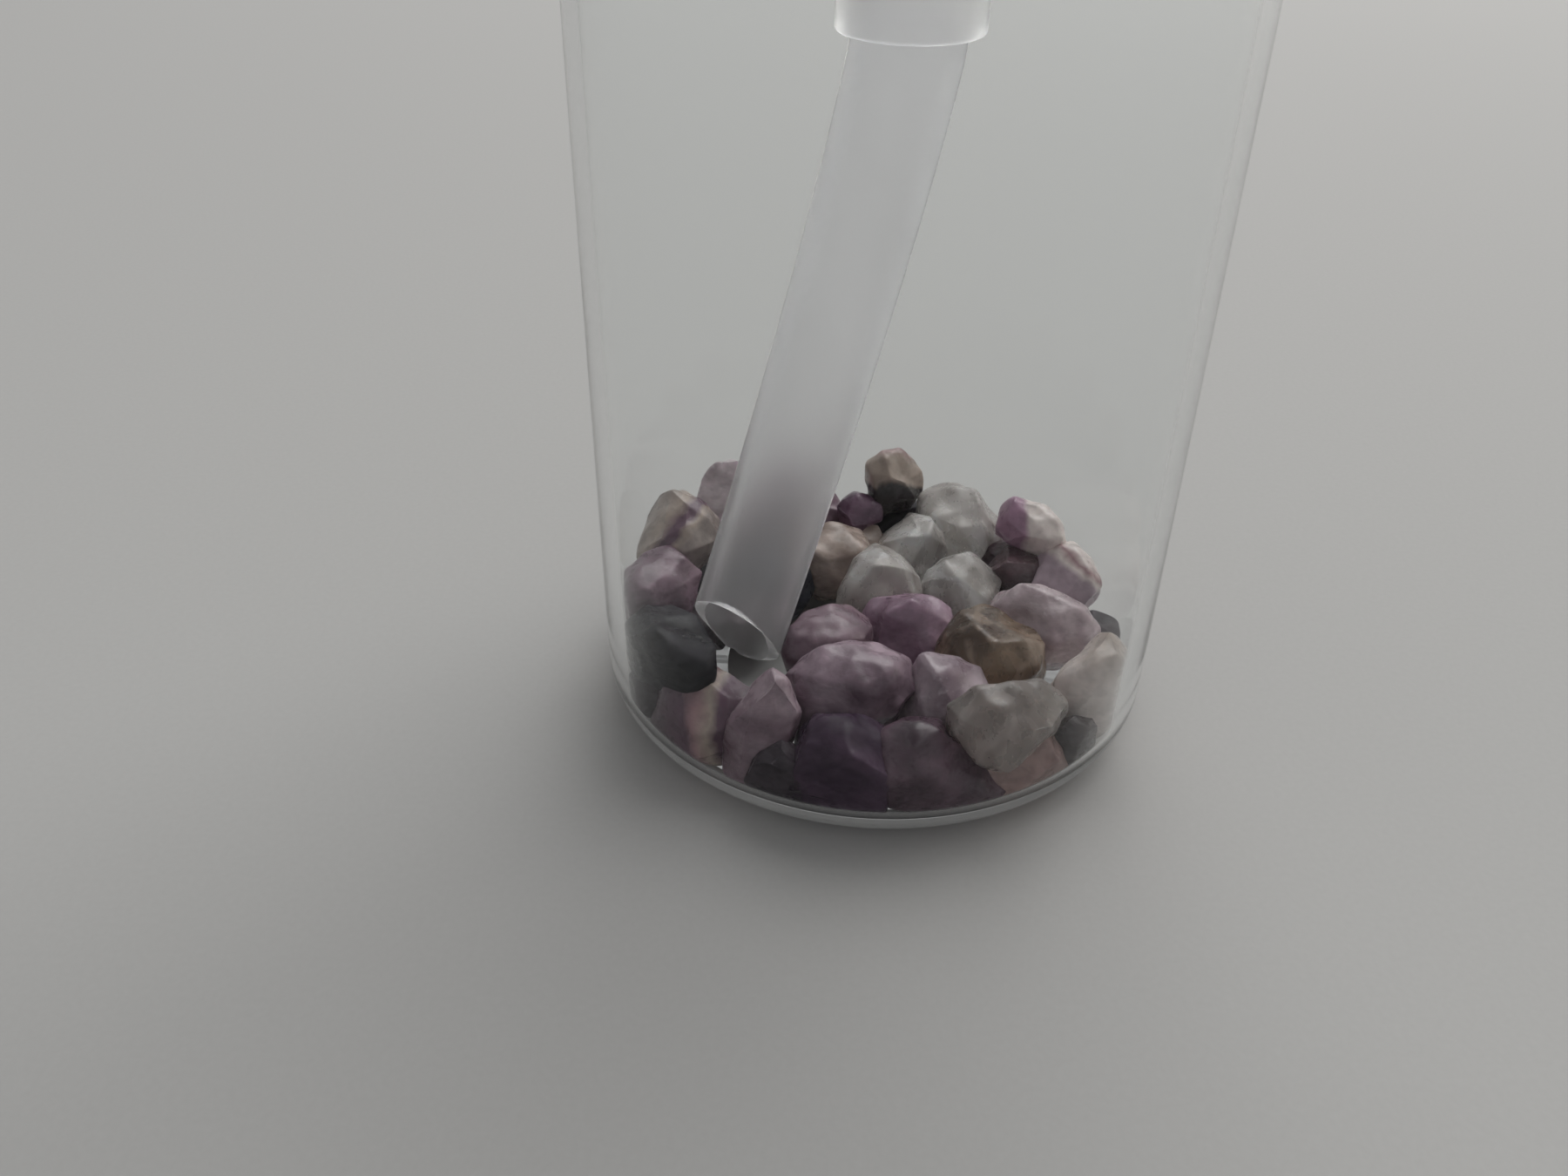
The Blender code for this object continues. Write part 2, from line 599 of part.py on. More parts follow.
def make_closure(mats, pump):
    chamfer = CLOSURE_WALL * 0.35
    profile = [
        (SKIRT_R, -CLOSURE_SKIRT),
        (CLOSURE_R, -CLOSURE_SKIRT),
        (CLOSURE_R, PLATE_TOP - chamfer),
        (CLOSURE_R - RIB_DEPTH - chamfer * 0.3, PLATE_TOP),
        (UPSTAND_R, PLATE_TOP),
        (UPSTAND_R, PLATE_TOP + UPSTAND_HEIGHT),
        (UPSTAND_R - UPSTAND_WALL, PLATE_TOP + UPSTAND_HEIGHT),
        (UPSTAND_R - UPSTAND_WALL, PLATE_TOP),
        (PLATE_BORE_R, PLATE_TOP),
        (PLATE_BORE_R, PLATE_Z),
        (SKIRT_R, PLATE_Z),
    ]
    spokes = 2 * CLOSURE_RIBS
    bm = turned(profile, spokes)
    for v in bm.verts:
        r = math.hypot(v.co.x, v.co.y)
        spoke = round(math.atan2(v.co.y, v.co.x) * spokes / math.tau)
        if r > CLOSURE_R - RIB_DEPTH / 2 and spoke % 2:
            v.co.x *= (r - RIB_DEPTH) / r
            v.co.y *= (r - RIB_DEPTH) / r
    closure = add_object("closure", bm, mats["white_pp"], parent=pump)
    ridge = thread_ridge(
        SKIRT_R,
        NECK_R + THREAD_CLEARANCE,
        THREAD_ROOT_WIDTH * 0.85,
        THREAD_CREST_WIDTH * 0.85,
        -THREAD_DROP - THREAD_PITCH / 2,
        THREAD_TURNS,
    )
    helper = add_object("closure_thread", ridge, mats["white_pp"], parent=pump)
    combine(closure, helper, "UNION")
    return closure


def make_actuator(mats, pump):
    """A finger head with a skirt round the guide and a boss on the stem."""
    socket = STEM_R + PUSH_GAP
    profile = [
        (0.0, HEAD_TOP - ACTUATOR_DISH),
        (ACTUATOR_R * 0.45, HEAD_TOP - ACTUATOR_DISH * 0.75),
        (ACTUATOR_R * 0.8, HEAD_TOP),
    ]
    profile += curve_points(
        (ACTUATOR_R - ACTUATOR_EDGE, HEAD_TOP - ACTUATOR_EDGE),
        (ACTUATOR_EDGE, ACTUATOR_EDGE),
        90,
        0,
        3,
    )
    profile += [
        (ACTUATOR_R, SKIRT_Z),
        (ACTUATOR_BORE_R, SKIRT_Z),
        (ACTUATOR_BORE_R, HEAD_Z),
        (BOSS_R, HEAD_Z),
        (BOSS_R, SKIRT_Z + SEAT_GAP),
        (socket, SKIRT_Z + SEAT_GAP),
        (socket, STEM_TOP + SEAT_GAP),
        (CHANNEL_D / 2, STEM_TOP + SEAT_GAP),
        (CHANNEL_D / 2, NOZZLE_Z),
        (0.0, NOZZLE_Z),
    ]
    actuator = add_object(
        "actuator", turned(profile, ROUND_SEGMENTS), mats["white_pp"], parent=pump
    )
    depth = NOZZLE_LENGTH + SEAT_GAP
    pocket = NOZZLE_D / 2 + PUSH_GAP
    beyond = ACTUATOR_R + NOZZLE_LENGTH
    cut = [
        (0.0, 0.0),
        (CHANNEL_D / 2, 0.0),
        (CHANNEL_D / 2, ACTUATOR_R - depth),
        (pocket, ACTUATOR_R - depth),
        (pocket, beyond),
        (0.0, beyond),
    ]
    cutter = add_object(
        "nozzle_cut",
        turned(cut, SMALL_SEGMENTS),
        mats["white_pp"],
        (0, 0, NOZZLE_Z),
        (math.radians(90), 0, 0),
        pump,
    )
    combine(actuator, cutter, "DIFFERENCE")
    return actuator


def make_nozzle(mats, pump):
    """A small cup pressed into the head, with its orifice facing -Y."""
    outer = NOZZLE_D / 2
    front = ACTUATOR_R - SEAT_GAP
    back = ACTUATOR_R - NOZZLE_LENGTH
    profile = [
        (NOZZLE_ORIFICE_D / 2, front - NOZZLE_LENGTH * 0.25),
        (outer * 0.55, front),
        (outer, front),
        (outer, back),
        (CHANNEL_D / 2, back),
        (CHANNEL_D / 2, front - NOZZLE_LENGTH * 0.45),
        (NOZZLE_ORIFICE_D / 2, front - NOZZLE_LENGTH * 0.45),
    ]
    return add_object(
        "nozzle_insert",
        turned(profile, TUBE_SEGMENTS),
        mats["white_pp"],
        (0, 0, NOZZLE_Z),
        (math.radians(90), 0, 0),
        pump,
    )


def make_overcap(mats, pump):
    outer = OVERCAP_BORE_R + OVERCAP_WALL
    edge = min(OVERCAP_EDGE, OVERCAP_BORE_R * 0.5)
    top = OVERCAP_TOP + OVERCAP_WALL
    inner_edge = max(edge - OVERCAP_WALL, OVERCAP_WALL * 0.5)
    profile = [(0.0, top)]
    profile += curve_points((outer - edge, top - edge), (edge, edge), 90, 0, 4)
    profile += [(outer, OVERCAP_Z), (OVERCAP_BORE_R, OVERCAP_Z)]
    profile += curve_points(
        (OVERCAP_BORE_R - inner_edge, OVERCAP_TOP - inner_edge),
        (inner_edge, inner_edge),
        0,
        90,
        3,
    )
    profile += [(0.0, OVERCAP_TOP)]
    return add_object("overcap", turned(profile, ROUND_SEGMENTS), mats["clear_ps"], parent=pump)


def chip_points(length, width, height, seed):
    """Corner points of a tumbled chip: an ellipsoid with flats knocked off it."""
    rng = random.Random(seed)
    cuts = []
    for _ in range(CHIP_CUTS):
        way = Vector((rng.gauss(0, 1), rng.gauss(0, 1), rng.gauss(0, 1))).normalized()
        cuts.append((way, rng.uniform(*CHIP_FLATS)))
    ball = bmesh.new()
    bmesh.ops.create_icosphere(ball, subdivisions=2, radius=1.0)
    points = []
    for v in ball.verts:
        way = v.co.normalized()
        reach = 1.0
        for normal, distance in cuts:
            facing = way.dot(normal)
            if facing > 0.1:
                reach = min(reach, distance / facing)
        points.append(way * reach)
    ball.free()
    low = Vector([min(p[k] for p in points) for k in range(3)])
    high = Vector([max(p[k] for p in points) for k in range(3)])
    size = Vector((length, width, height))
    return [
        Vector([size[k] * ((p[k] - low[k]) / (high[k] - low[k]) - 0.5) for k in range(3)])
        for p in points
    ]


def chip_hull(points):
    bm = bmesh.new()
    for p in points:
        bm.verts.new(p)
    found = bmesh.ops.convex_hull(bm, input=bm.verts)
    inside = [g for g in found["geom_interior"] if isinstance(g, bmesh.types.BMVert)]
    bmesh.ops.delete(bm, geom=inside, context="VERTS")
    bmesh.ops.recalc_face_normals(bm, faces=bm.faces)
    bm.verts.ensure_lookup_table()
    bm.verts.index_update()
    bm.normal_update()
    return bm


def tree_of(bm):
    verts = [v.co.copy() for v in bm.verts]
    faces = [[v.index for v in f.verts] for f in bm.faces]
    return BVHTree.FromPolygons(verts, faces)


def chip_obstacles():
    """The bottle's inside, and the dip tube at each height it takes as it unscrews."""
    room = bmesh.new()
    loops = []
    profile = inner_profile()
    for k in range(ROUND_SEGMENTS):
        angle = math.tau * k / ROUND_SEGMENTS
        loops.append(
            [room.verts.new((r * math.cos(angle), r * math.sin(angle), z)) for r, z in profile]
        )
    for k in range(ROUND_SEGMENTS):
        here, there = loops[k], loops[(k + 1) % ROUND_SEGMENTS]
        for i in range(len(profile) - 1):
            room.faces.new((here[i], there[i], there[i + 1], here[i + 1]))
    room.verts.index_update()
    trees = [tree_of(room)]
    room.free()
    for share in (0, 0.25, 0.5, 0.75, 1):
        tube = swept(tube_rings(TUBE_R), closed=False)
        tube.verts.index_update()
        bmesh.ops.translate(tube, vec=(0, 0, THREAD_LIFT * share), verts=tube.verts)
        trees.append(tree_of(tube))
        tube.free()
    return trees


def is_free(verts, faces, centre, reach, trees, placed):
    """True if the chip, swollen by its gap, meets no wall, tube or earlier chip."""
    body = BVHTree.FromPolygons([v + centre for v in verts], faces)
    if any(body.overlap(tree) for tree in trees):
        return False
    for tree, other, other_reach in placed:
        if (centre - other).length > reach + other_reach:
            continue
        if body.overlap(tree):
            return False
        nearest, normal, _, _ = tree.find_nearest(centre)
        if (centre - nearest).dot(normal) < 0:
            return False
    return True


def resting_height(verts, faces, start, ceiling, reach, trees, placed):
    """The lowest height where the chip is clear, found in coarse steps and then fine."""
    centre = start.copy()
    coarse = 4 * CHIP_STEP
    while not is_free(verts, faces, centre, reach, trees, placed):
        centre.z += coarse
        if centre.z > ceiling:
            return centre.z
    for _ in range(3):
        if centre.z - CHIP_STEP < start.z:
            break
        centre.z -= CHIP_STEP
        if not is_free(verts, faces, centre, reach, trees, placed):
            centre.z += CHIP_STEP
            break
    return centre.z


def settle(verts, faces, x, y, floor, trees, placed):
    """Where a chip comes to rest: as low as it gets by slipping a little to one side."""
    reach = max(p.length for p in verts)
    room = INNER_R * math.cos(math.pi / ROUND_SEGMENTS)
    best = None
    lowest = math.inf
    ring = 0
    while ring <= CHIP_SLIPS or (best.z > BED_DEPTH and ring * CHIP_SLIP < INNER_R):
        effort = ring * CHIP_SLIP / 2
        for way in range(1, CHIP_WAYS + 1 if ring else 2):
            angle = math.tau * way / CHIP_WAYS
            centre = Vector((x, y, floor))
            centre += Vector((math.cos(angle), math.sin(angle), 0)) * ring * CHIP_SLIP
            while max(math.hypot(p.x + centre.x, p.y + centre.y) for p in verts) > room:
                centre.x *= 0.99
                centre.y *= 0.99
            top = lowest - effort if best else MOUTH_Z
            centre.z = resting_height(verts, faces, centre, top, reach, trees, placed)
            if centre.z + effort < lowest:
                lowest = centre.z + effort
                best = centre
        ring += 1
    return best, reach


def place_chips(mats, bed):
    """Sets each chip down in turn, clear of what is there already."""
    trees = chip_obstacles()
    unit = INNER_R / CHIP_TABLE_R
    placed = []
    for number, chip in enumerate(CHIPS, 1):
        x, y, length, width, height = (value * unit for value in chip[:5])
        turn = Euler((math.radians(chip[6]), math.radians(chip[7]), math.radians(chip[5])))
        bm = chip_hull(chip_points(length, width, height, number))
        points = [turn.to_matrix() @ v.co for v in bm.verts]
        faces = [[v.index for v in f.verts] for f in bm.faces]
        swollen = [p + p.normalized() * CHIP_GAP for p in points]
        floor = BOTTLE_WALL - min(p.z for p in points)
        centre, reach = settle(swollen, faces, x, y, floor, trees, placed)
        settled = BVHTree.FromPolygons([p + centre for p in points], faces)
        placed.append((settled, centre, reach))
        add_object(f"amethyst_chip_{number:02d}", bm, mats[chip[8]], centre, turn, bed)


def main():
    clear_scene()
    mats = make_materials()
    make_bottle(mats)
    pump = add_empty("pump_axis", (0, 0, MOUTH_Z))
    make_housing(mats, pump)
    make_gasket(mats, pump)
    make_turret(mats, pump)
    make_ball(mats, pump)
    make_spring(mats, pump)
    make_stem(mats, pump)
    make_piston(mats, pump)
    make_dip_tube(mats, pump)
    make_closure(mats, pump)
    make_actuator(mats, pump)
    make_nozzle(mats, pump)
    make_overcap(mats, pump)
    place_chips(mats, add_empty("chip_bed", (0, 0, 0)))


main()
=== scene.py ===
# %% [markdown]
# # A clear spray bottle with amethyst chips
#
# This lesson dresses a small mist bottle: a clear blow-moulded body, a milky dip tube,
# a bed of tumbled amethyst and the pump above it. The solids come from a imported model
# that is never moved, and each piece made here sits where its solid sits.

# %% Load the frame
import json
import math
import random

import bpy
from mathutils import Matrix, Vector


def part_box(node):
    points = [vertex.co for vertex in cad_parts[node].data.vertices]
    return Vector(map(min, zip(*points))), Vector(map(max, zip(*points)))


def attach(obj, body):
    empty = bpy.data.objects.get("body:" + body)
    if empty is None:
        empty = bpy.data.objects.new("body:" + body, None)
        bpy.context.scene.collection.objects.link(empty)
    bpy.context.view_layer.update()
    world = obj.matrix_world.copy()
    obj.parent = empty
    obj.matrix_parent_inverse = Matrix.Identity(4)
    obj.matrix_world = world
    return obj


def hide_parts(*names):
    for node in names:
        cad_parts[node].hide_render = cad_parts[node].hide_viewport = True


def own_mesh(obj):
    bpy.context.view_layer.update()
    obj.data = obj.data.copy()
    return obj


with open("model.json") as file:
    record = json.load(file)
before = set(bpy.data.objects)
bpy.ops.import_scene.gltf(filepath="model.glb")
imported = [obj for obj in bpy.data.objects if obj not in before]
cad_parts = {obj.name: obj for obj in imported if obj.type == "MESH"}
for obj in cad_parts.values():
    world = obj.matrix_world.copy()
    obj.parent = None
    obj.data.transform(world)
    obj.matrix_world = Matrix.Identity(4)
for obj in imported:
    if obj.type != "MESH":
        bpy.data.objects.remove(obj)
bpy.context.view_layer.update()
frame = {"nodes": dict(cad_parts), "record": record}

MM = 0.001

# %% [markdown]
# ## The camera
#
# The photograph looks down at the table by about a third of a right angle, from close by.
# Its lens is that of a phone, so the bottle's sides spread towards the top of the picture.
# The place was worked out from the ellipse of the base and the slope of both sides.

# %% Camera
CAMERA_PLACE = Vector((-6.138, -72.867, 55.414)) * MM
CAMERA_PITCH = math.radians(56.0)  # 90 would look level
CAMERA_ROLL = math.radians(0.94)

bpy.ops.object.camera_add(location=CAMERA_PLACE)
camera = bpy.context.object
camera.rotation_mode = "ZYX"
camera.rotation_euler = (CAMERA_PITCH, 0, CAMERA_ROLL)
camera.data.sensor_width = 36
camera.data.lens = 30
camera.data.clip_start = 1 * MM
bpy.context.scene.camera = camera
print("camera stands", round(camera.location.length / MM), "mm from the middle of the base")

# %% [markdown]
# ## Small tools for modelling
#
# Operators act on whatever is selected, so every piece starts from an empty selection.
# Most pieces of a bottle and a pump are round. A round piece is made as on a lathe: a
# circle is added at the first point of an outline, then extruded and resized from point
# to point. Rings that meet at the axis or close a loop are merged at the end.

# %% Modelling tools
POLE = 0.004 * MM  # radius that stands for a point on the axis
WELD = 0.012 * MM
SEAM = 0.001 * MM  # slivers shorter than this are merged after a Boolean
SHARP = 40  # degrees
BEND_STEPS = 4  # faces across a softened corner
BEND_SHARE = 0.45  # the most of an edge that a softened corner may take


def deselect():
    if bpy.context.object and bpy.context.object.mode != "OBJECT":
        bpy.ops.object.mode_set(mode="OBJECT")
    bpy.ops.object.select_all(action="DESELECT")


def choose(piece):
    """Makes a piece the only one selected, and the active one."""
    deselect()
    piece.select_set(True)
    bpy.context.view_layer.objects.active = piece


def edit(piece):
    """Opens a piece in edit mode with all of it selected."""
    choose(piece)
    bpy.ops.object.mode_set(mode="EDIT")
    bpy.ops.mesh.select_all(action="SELECT")


def settle_place(piece):
    """Puts a piece's place into its mesh, so that its object sits at the origin."""
    choose(piece)
    bpy.ops.object.transform_apply(location=True, rotation=True, scale=True)


def modify(piece, kind, **settings):
    """Adds a modifier with these settings and applies it."""
    choose(piece)
    change = piece.modifiers.new(kind.title(), kind)
    for setting, value in settings.items():
        setattr(change, setting, value)
    bpy.ops.object.modifier_apply(modifier=change.name)


def smooth(piece, angle=SHARP):
    """Shades a piece smooth, apart from edges that turn by more than this angle."""
    choose(piece)
    bpy.ops.object.shade_smooth_by_angle(angle=math.radians(angle))


def arc(centre, radii, start, end, steps):
    """Points along part of an ellipse in the plane of radius and height, in degrees."""
    points = []
    for i in range(steps + 1):
        angle = math.radians(start + (end - start) * i / steps)
        across = centre[0] + radii[0] * math.cos(angle)
        points.append((across, centre[1] + radii[1] * math.sin(angle)))
    return points


def softened(corners, soft):
    """Rounds the corners of a closed or open outline by a small bend of length soft."""
    points = []
    count = len(corners)
    for i in range(count):
        here = Vector(corners[i])
        before = Vector(corners[i - 1]) - here
        after = Vector(corners[(i + 1) % count]) - here
        if i in (0, count - 1) and corners[i][0] == 0:
            points.append(here)
            continue
        start = here + before.normalized() * min(soft, before.length * BEND_SHARE)
        end = here + after.normalized() * min(soft, after.length * BEND_SHARE)
        for k in range(BEND_STEPS + 1):
            t = k / BEND_STEPS
            points.append(start * (1 - t) ** 2 + here * 2 * t * (1 - t) + end * t * t)
    if corners[0][0] > 0:
        points.append(points[0])
    return [tuple(p) for p in points]


def turned(name, outline, sides):
    """Walks a circle along an outline of (radius, height) points, as on a lathe."""
    deselect()
    points = [(max(r, POLE), z) for r, z in outline]
    r, z = points[0]
    bpy.ops.mesh.primitive_circle_add(vertices=sides, radius=r, location=(0, 0, z))
    piece = bpy.context.object
    piece.name = name
    settle_place(piece)
    edit(piece)
    for new_r, new_z in points[1:]:
        bpy.ops.mesh.extrude_region_move(TRANSFORM_OT_translate={"value": (0, 0, new_z - z)})
        ratio = new_r / r
        bpy.ops.transform.resize(value=(ratio, ratio, 1), center_override=(0, 0, new_z))
        r, z = new_r, new_z
    bpy.ops.mesh.select_all(action="SELECT")
    bpy.ops.mesh.remove_doubles(threshold=WELD)
    bpy.ops.mesh.normals_make_consistent(inside=False)
    bpy.ops.object.mode_set(mode="OBJECT")
    smooth(piece)
    return piece


def dress(piece, finish, body, slot, *nodes):
    """Gives a finished piece its material and its body, and hides the solids it stands for."""
    piece.data.materials.clear()
    piece.data.materials.append(finish)
    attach(piece, body)
    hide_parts(*nodes)
    print(piece.name, "has", len(piece.data.polygons), "faces")


def span(node):
    """The outer radius, lowest and highest point of a round solid."""
    low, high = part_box(node)
    return high.x, low.z, high.z


# %% [markdown]
# ## Small tools for finishes
#
# Every finish is a node tree round one Principled shader. The helper makes a node and
# sets its inputs by name. Patterns read Object coordinates, which are metres here, so a
# noise of scale 400 has spots of about two and a half millimetres.

# %% Material tools


class Finish:
    """A material with short calls for its nodes and links."""

    def __init__(self, name):
        self.material = bpy.data.materials.new(name)
        self.material.use_nodes = True
        self.nodes = self.material.node_tree.nodes
        self.links = self.material.node_tree.links
        self.shader = self.nodes["Principled BSDF"]
        self.output = self.nodes["Material Output"]

    def node(self, kind, settings=None, **inputs):
        made = self.nodes.new("ShaderNode" + kind)
        for setting, value in (settings or {}).items():
            setattr(made, setting, value)
        for label, value in inputs.items():
            self.plug(value, made.inputs[label.replace("_", " ")])
        return made

    def plug(self, value, socket):
        if isinstance(value, bpy.types.NodeSocket):
            self.links.new(value, socket)
        else:
            socket.default_value = value

    def set(self, **inputs):
        for label, value in inputs.items():
            self.plug(value, self.shader.inputs[label.replace("_", " ")])

    def place(self, offset=(0, 0, 0), turn=(0, 0, 0), scale=(1, 1, 1)):
        coords = self.node("TexCoord")
        mapping = self.node("Mapping", Location=offset, Rotation=turn, Scale=scale)
        self.links.new(coords.outputs["Object"], mapping.inputs["Vector"])
        return mapping.outputs["Vector"]

    def noise(self, place, scale, detail=3.0, distortion=0.0):
        made = self.node("TexNoise", Vector=place, Scale=scale, Detail=detail, Distortion=distortion)
        return made.outputs["Fac"]

    def ramp(self, value, stops, interpolation="EASE"):
        made = self.node("ValToRGB", Fac=value)
        scale = made.color_ramp
        scale.interpolation = interpolation
        while len(scale.elements) < len(stops):
            scale.elements.new(0.5)
        for element, (position, colour) in zip(scale.elements, stops):
            element.position = position
            element.color = (*colour, 1.0)
        return made.outputs["Color"]

    def remap(self, value, low, high, new_low, new_high):
        made = self.node(
            "MapRange", Value=value, From_Min=low, From_Max=high, To_Min=new_low, To_Max=new_high
        )
        return made.outputs["Result"]

    def mix(self, amount, a, b):
        made = self.node("Mix", {"data_type": "RGBA"})
        self.plug(amount, made.inputs[0])
        for value, socket in ((a, made.inputs[6]), (b, made.inputs[7])):
            self.plug(value if isinstance(value, bpy.types.NodeSocket) else (*value, 1.0), socket)
        return made.outputs[2]

    def bump(self, height, distance):
        made = self.node("Bump", Height=height, Distance=distance, Strength=1.0)
        self.set(Normal=made.outputs["Normal"])


# %% [markdown]
# ## Clear and milky plastics
#
# The bottle is blow-moulded clear plastic. Real walls bend light only a little, but lamps
# have to reach the stones through them. So the shader is clear to shadow and diffuse rays
# and glass to the eye. A slow ripple in the wall and faint smears make its gloss uneven.
# The dip tube is natural polyethylene, which scatters light: part rough glass, part milk.

# %% Clear and milky plastics
SOFT_IOR = 1.18  # weaker than a solid block, as thin walls bend light only a little


def let_lamps_through(finish, straight, grazing):
    """Shadow and diffuse rays cross the wall in a straight line, less so along its rim."""
    path = finish.node("LightPath")
    lamp = finish.node("Math", {"operation": "MAXIMUM"})
    finish.links.new(path.outputs["Is Shadow Ray"], lamp.inputs[0])
    finish.links.new(path.outputs["Is Diffuse Ray"], lamp.inputs[1])
    rim = finish.node("LayerWeight", Blend=0.35)
    shade = finish.mix(rim.outputs["Facing"], straight, grazing)
    open_air = finish.node("BsdfTransparent", Color=shade)
    blend = finish.node("MixShader")
    finish.links.new(lamp.outputs[0], blend.inputs[0])
    finish.links.new(finish.shader.outputs[0], blend.inputs[1])
    finish.links.new(open_air.outputs[0], blend.inputs[2])
    finish.links.new(blend.outputs[0], finish.output.inputs["Surface"])


def clear_plastic(name, tint, ripple, haze):
    finish = Finish(name)
    place = finish.place(scale=(1, 1, 0.35))
    slow = finish.noise(place, 90, 2.0)
    smear = finish.noise(finish.place(turn=(0.4, 0, 0.7), scale=(1, 1, 2.5)), 160, 4.0, 1.2)
    finish.set(
        Base_Color=(*tint, 1.0),
        IOR=SOFT_IOR,
        Transmission_Weight=1.0,
        Roughness=finish.remap(smear, 0.35, 0.75, 0.0, haze),
    )
    finish.bump(slow, ripple)
    let_lamps_through(finish, (0.98, 0.98, 0.98), (0.66, 0.66, 0.66))
    return finish.material


def milky_plastic(name, colour, clearness, roughness):
    finish = Finish(name)
    place = finish.place(scale=(1, 1, 0.2))
    streaks = finish.noise(place, 420, 4.0, 0.4)
    finish.set(
        Base_Color=finish.mix(streaks, [c * 0.97 for c in colour], colour),
        Transmission_Weight=clearness,
        Roughness=finish.remap(streaks, 0.3, 0.7, roughness * 0.9, roughness * 1.1),
        Subsurface_Weight=1.0,
        Subsurface_Radius=(1.0, 1.0, 1.0),
        Subsurface_Scale=2.0 * MM,
        IOR=SOFT_IOR,
    )
    finish.bump(streaks, 0.01 * MM)
    let_lamps_through(finish, (0.93, 0.93, 0.94), (0.75, 0.75, 0.75))
    return finish.material


bottle_clear = clear_plastic("bottle_clear", (0.975, 0.985, 0.985), 0.02 * MM, 0.05)
cap_clear = clear_plastic("cap_clear", (0.98, 0.985, 0.99), 0.008 * MM, 0.04)
tube_milk = milky_plastic("tube_milk", (0.952, 0.951, 0.957), 0.94, 0.55)
pump_milk = milky_plastic("pump_milk", (0.966, 0.966, 0.962), 0.94, 0.72)
print("plastics:", ", ".join(m.name for m in (bottle_clear, cap_clear, tube_milk, pump_milk)))

# %% [markdown]
# ## The bottle
#
# The body is one shell with an open mouth: a pushed-up base, a round heel, straight
# sides, a soft shoulder and a neck with a bead. The outline runs up the outside, over the
# lip and down the inside, so that one walk on the lathe makes both walls of the shell.

# %% Bottle
BOTTLE_R, _, MOUTH_Z = span("bottle")
WALL = 0.9 * MM
HEEL = 3.0 * MM
PUSH_UP = 0.8 * MM
RING_IN = 10.0 * MM  # inner edge of the standing ring
BODY_TOP = 50.0 * MM
SHOULDER = 9.0 * MM
NECK_R = 10.75 * MM
BORE_R = 9.3 * MM
BEAD_Z = MOUTH_Z - 14.6 * MM
BEAD_R = 12.95 * MM
BEAD_HALF = 0.8 * MM
LIP = 0.5 * MM  # rounding of the mouth
BASE_STEPS = 8


def base_rise(radius, floor):
    """Points of the pushed-up base from one radius of the standing ring to the middle."""
    points = []
    for i in range(1, BASE_STEPS + 1):
        share = 1 - i / BASE_STEPS
        rise = PUSH_UP * (0.5 + 0.5 * math.cos(math.pi * share))
        points.append((radius * share, floor + rise))
    return points


INNER_R = BOTTLE_R - WALL
INNER_HEEL = HEEL - WALL
outside = list(reversed(base_rise(RING_IN, 0.0)))
outside += [(RING_IN, 0.0)]
outside += arc((BOTTLE_R - HEEL, HEEL), (HEEL, HEEL), -90, 0, 10)
outside += arc((NECK_R, BODY_TOP), (BOTTLE_R - NECK_R, SHOULDER), 0, 88, 16)
outside += [(NECK_R, BEAD_Z - BEAD_HALF)]
outside += arc((BEAD_R - BEAD_HALF * 0.5, BEAD_Z), (BEAD_HALF * 0.5, BEAD_HALF * 0.6), -90, 90, 6)
outside += [(NECK_R, BEAD_Z + BEAD_HALF)]
outside += arc((NECK_R - LIP, MOUTH_Z - LIP), (LIP, LIP), 0, 90, 4)
inside = [(BORE_R, MOUTH_Z), (BORE_R, MOUTH_Z - LIP)]
inside += arc((BORE_R, BODY_TOP), (INNER_R - BORE_R, SHOULDER - WALL), 90, 0, 16)
inside += arc((INNER_R - INNER_HEEL, WALL + INNER_HEEL), (INNER_HEEL, INNER_HEEL), 0, -90, 8)
inside += [(RING_IN, WALL)]
inside += base_rise(RING_IN, WALL)
bottle = turned("clear_bottle", outside + inside, sides=128)
print("bottle's shell has", len(bottle.data.polygons), "faces")

# %% [markdown]
# ## The thread on the neck
#
# A screw thread is one section walked round and up. A small flat is shaped to the section
# of the ridge, and the Screw modifier walks it one and a half turns. Its ends sink into the
# wall, so that the collar's own ridge finds its way in. Then it is united with the bottle.

# %% Neck thread
THREAD_PITCH = 3.175 * MM
THREAD_TURNS = 1.5
THREAD_STEPS = 96
THREAD_FADE = 8  # steps over which a ridge sinks into its wall
THREAD_START = 0.15  # share of the ridge that its first step has
THREAD_DEPTH = 1.1 * MM
THREAD_BITE = 0.35 * MM  # how deep the ridge is rooted
THREAD_WIDTHS = (1.5 * MM, 0.7 * MM)
THREAD_LOW = MOUTH_Z - 2.0 * MM - THREAD_PITCH * THREAD_TURNS


def pick(piece, wanted):
    """Selects the vertices that a test wants and leaves the piece in edit mode."""
    edit(piece)
    bpy.ops.mesh.select_all(action="DESELECT")
    bpy.ops.object.mode_set(mode="OBJECT")
    for vertex in piece.data.vertices:
        vertex.select = wanted(vertex)
    bpy.ops.object.mode_set(mode="EDIT")


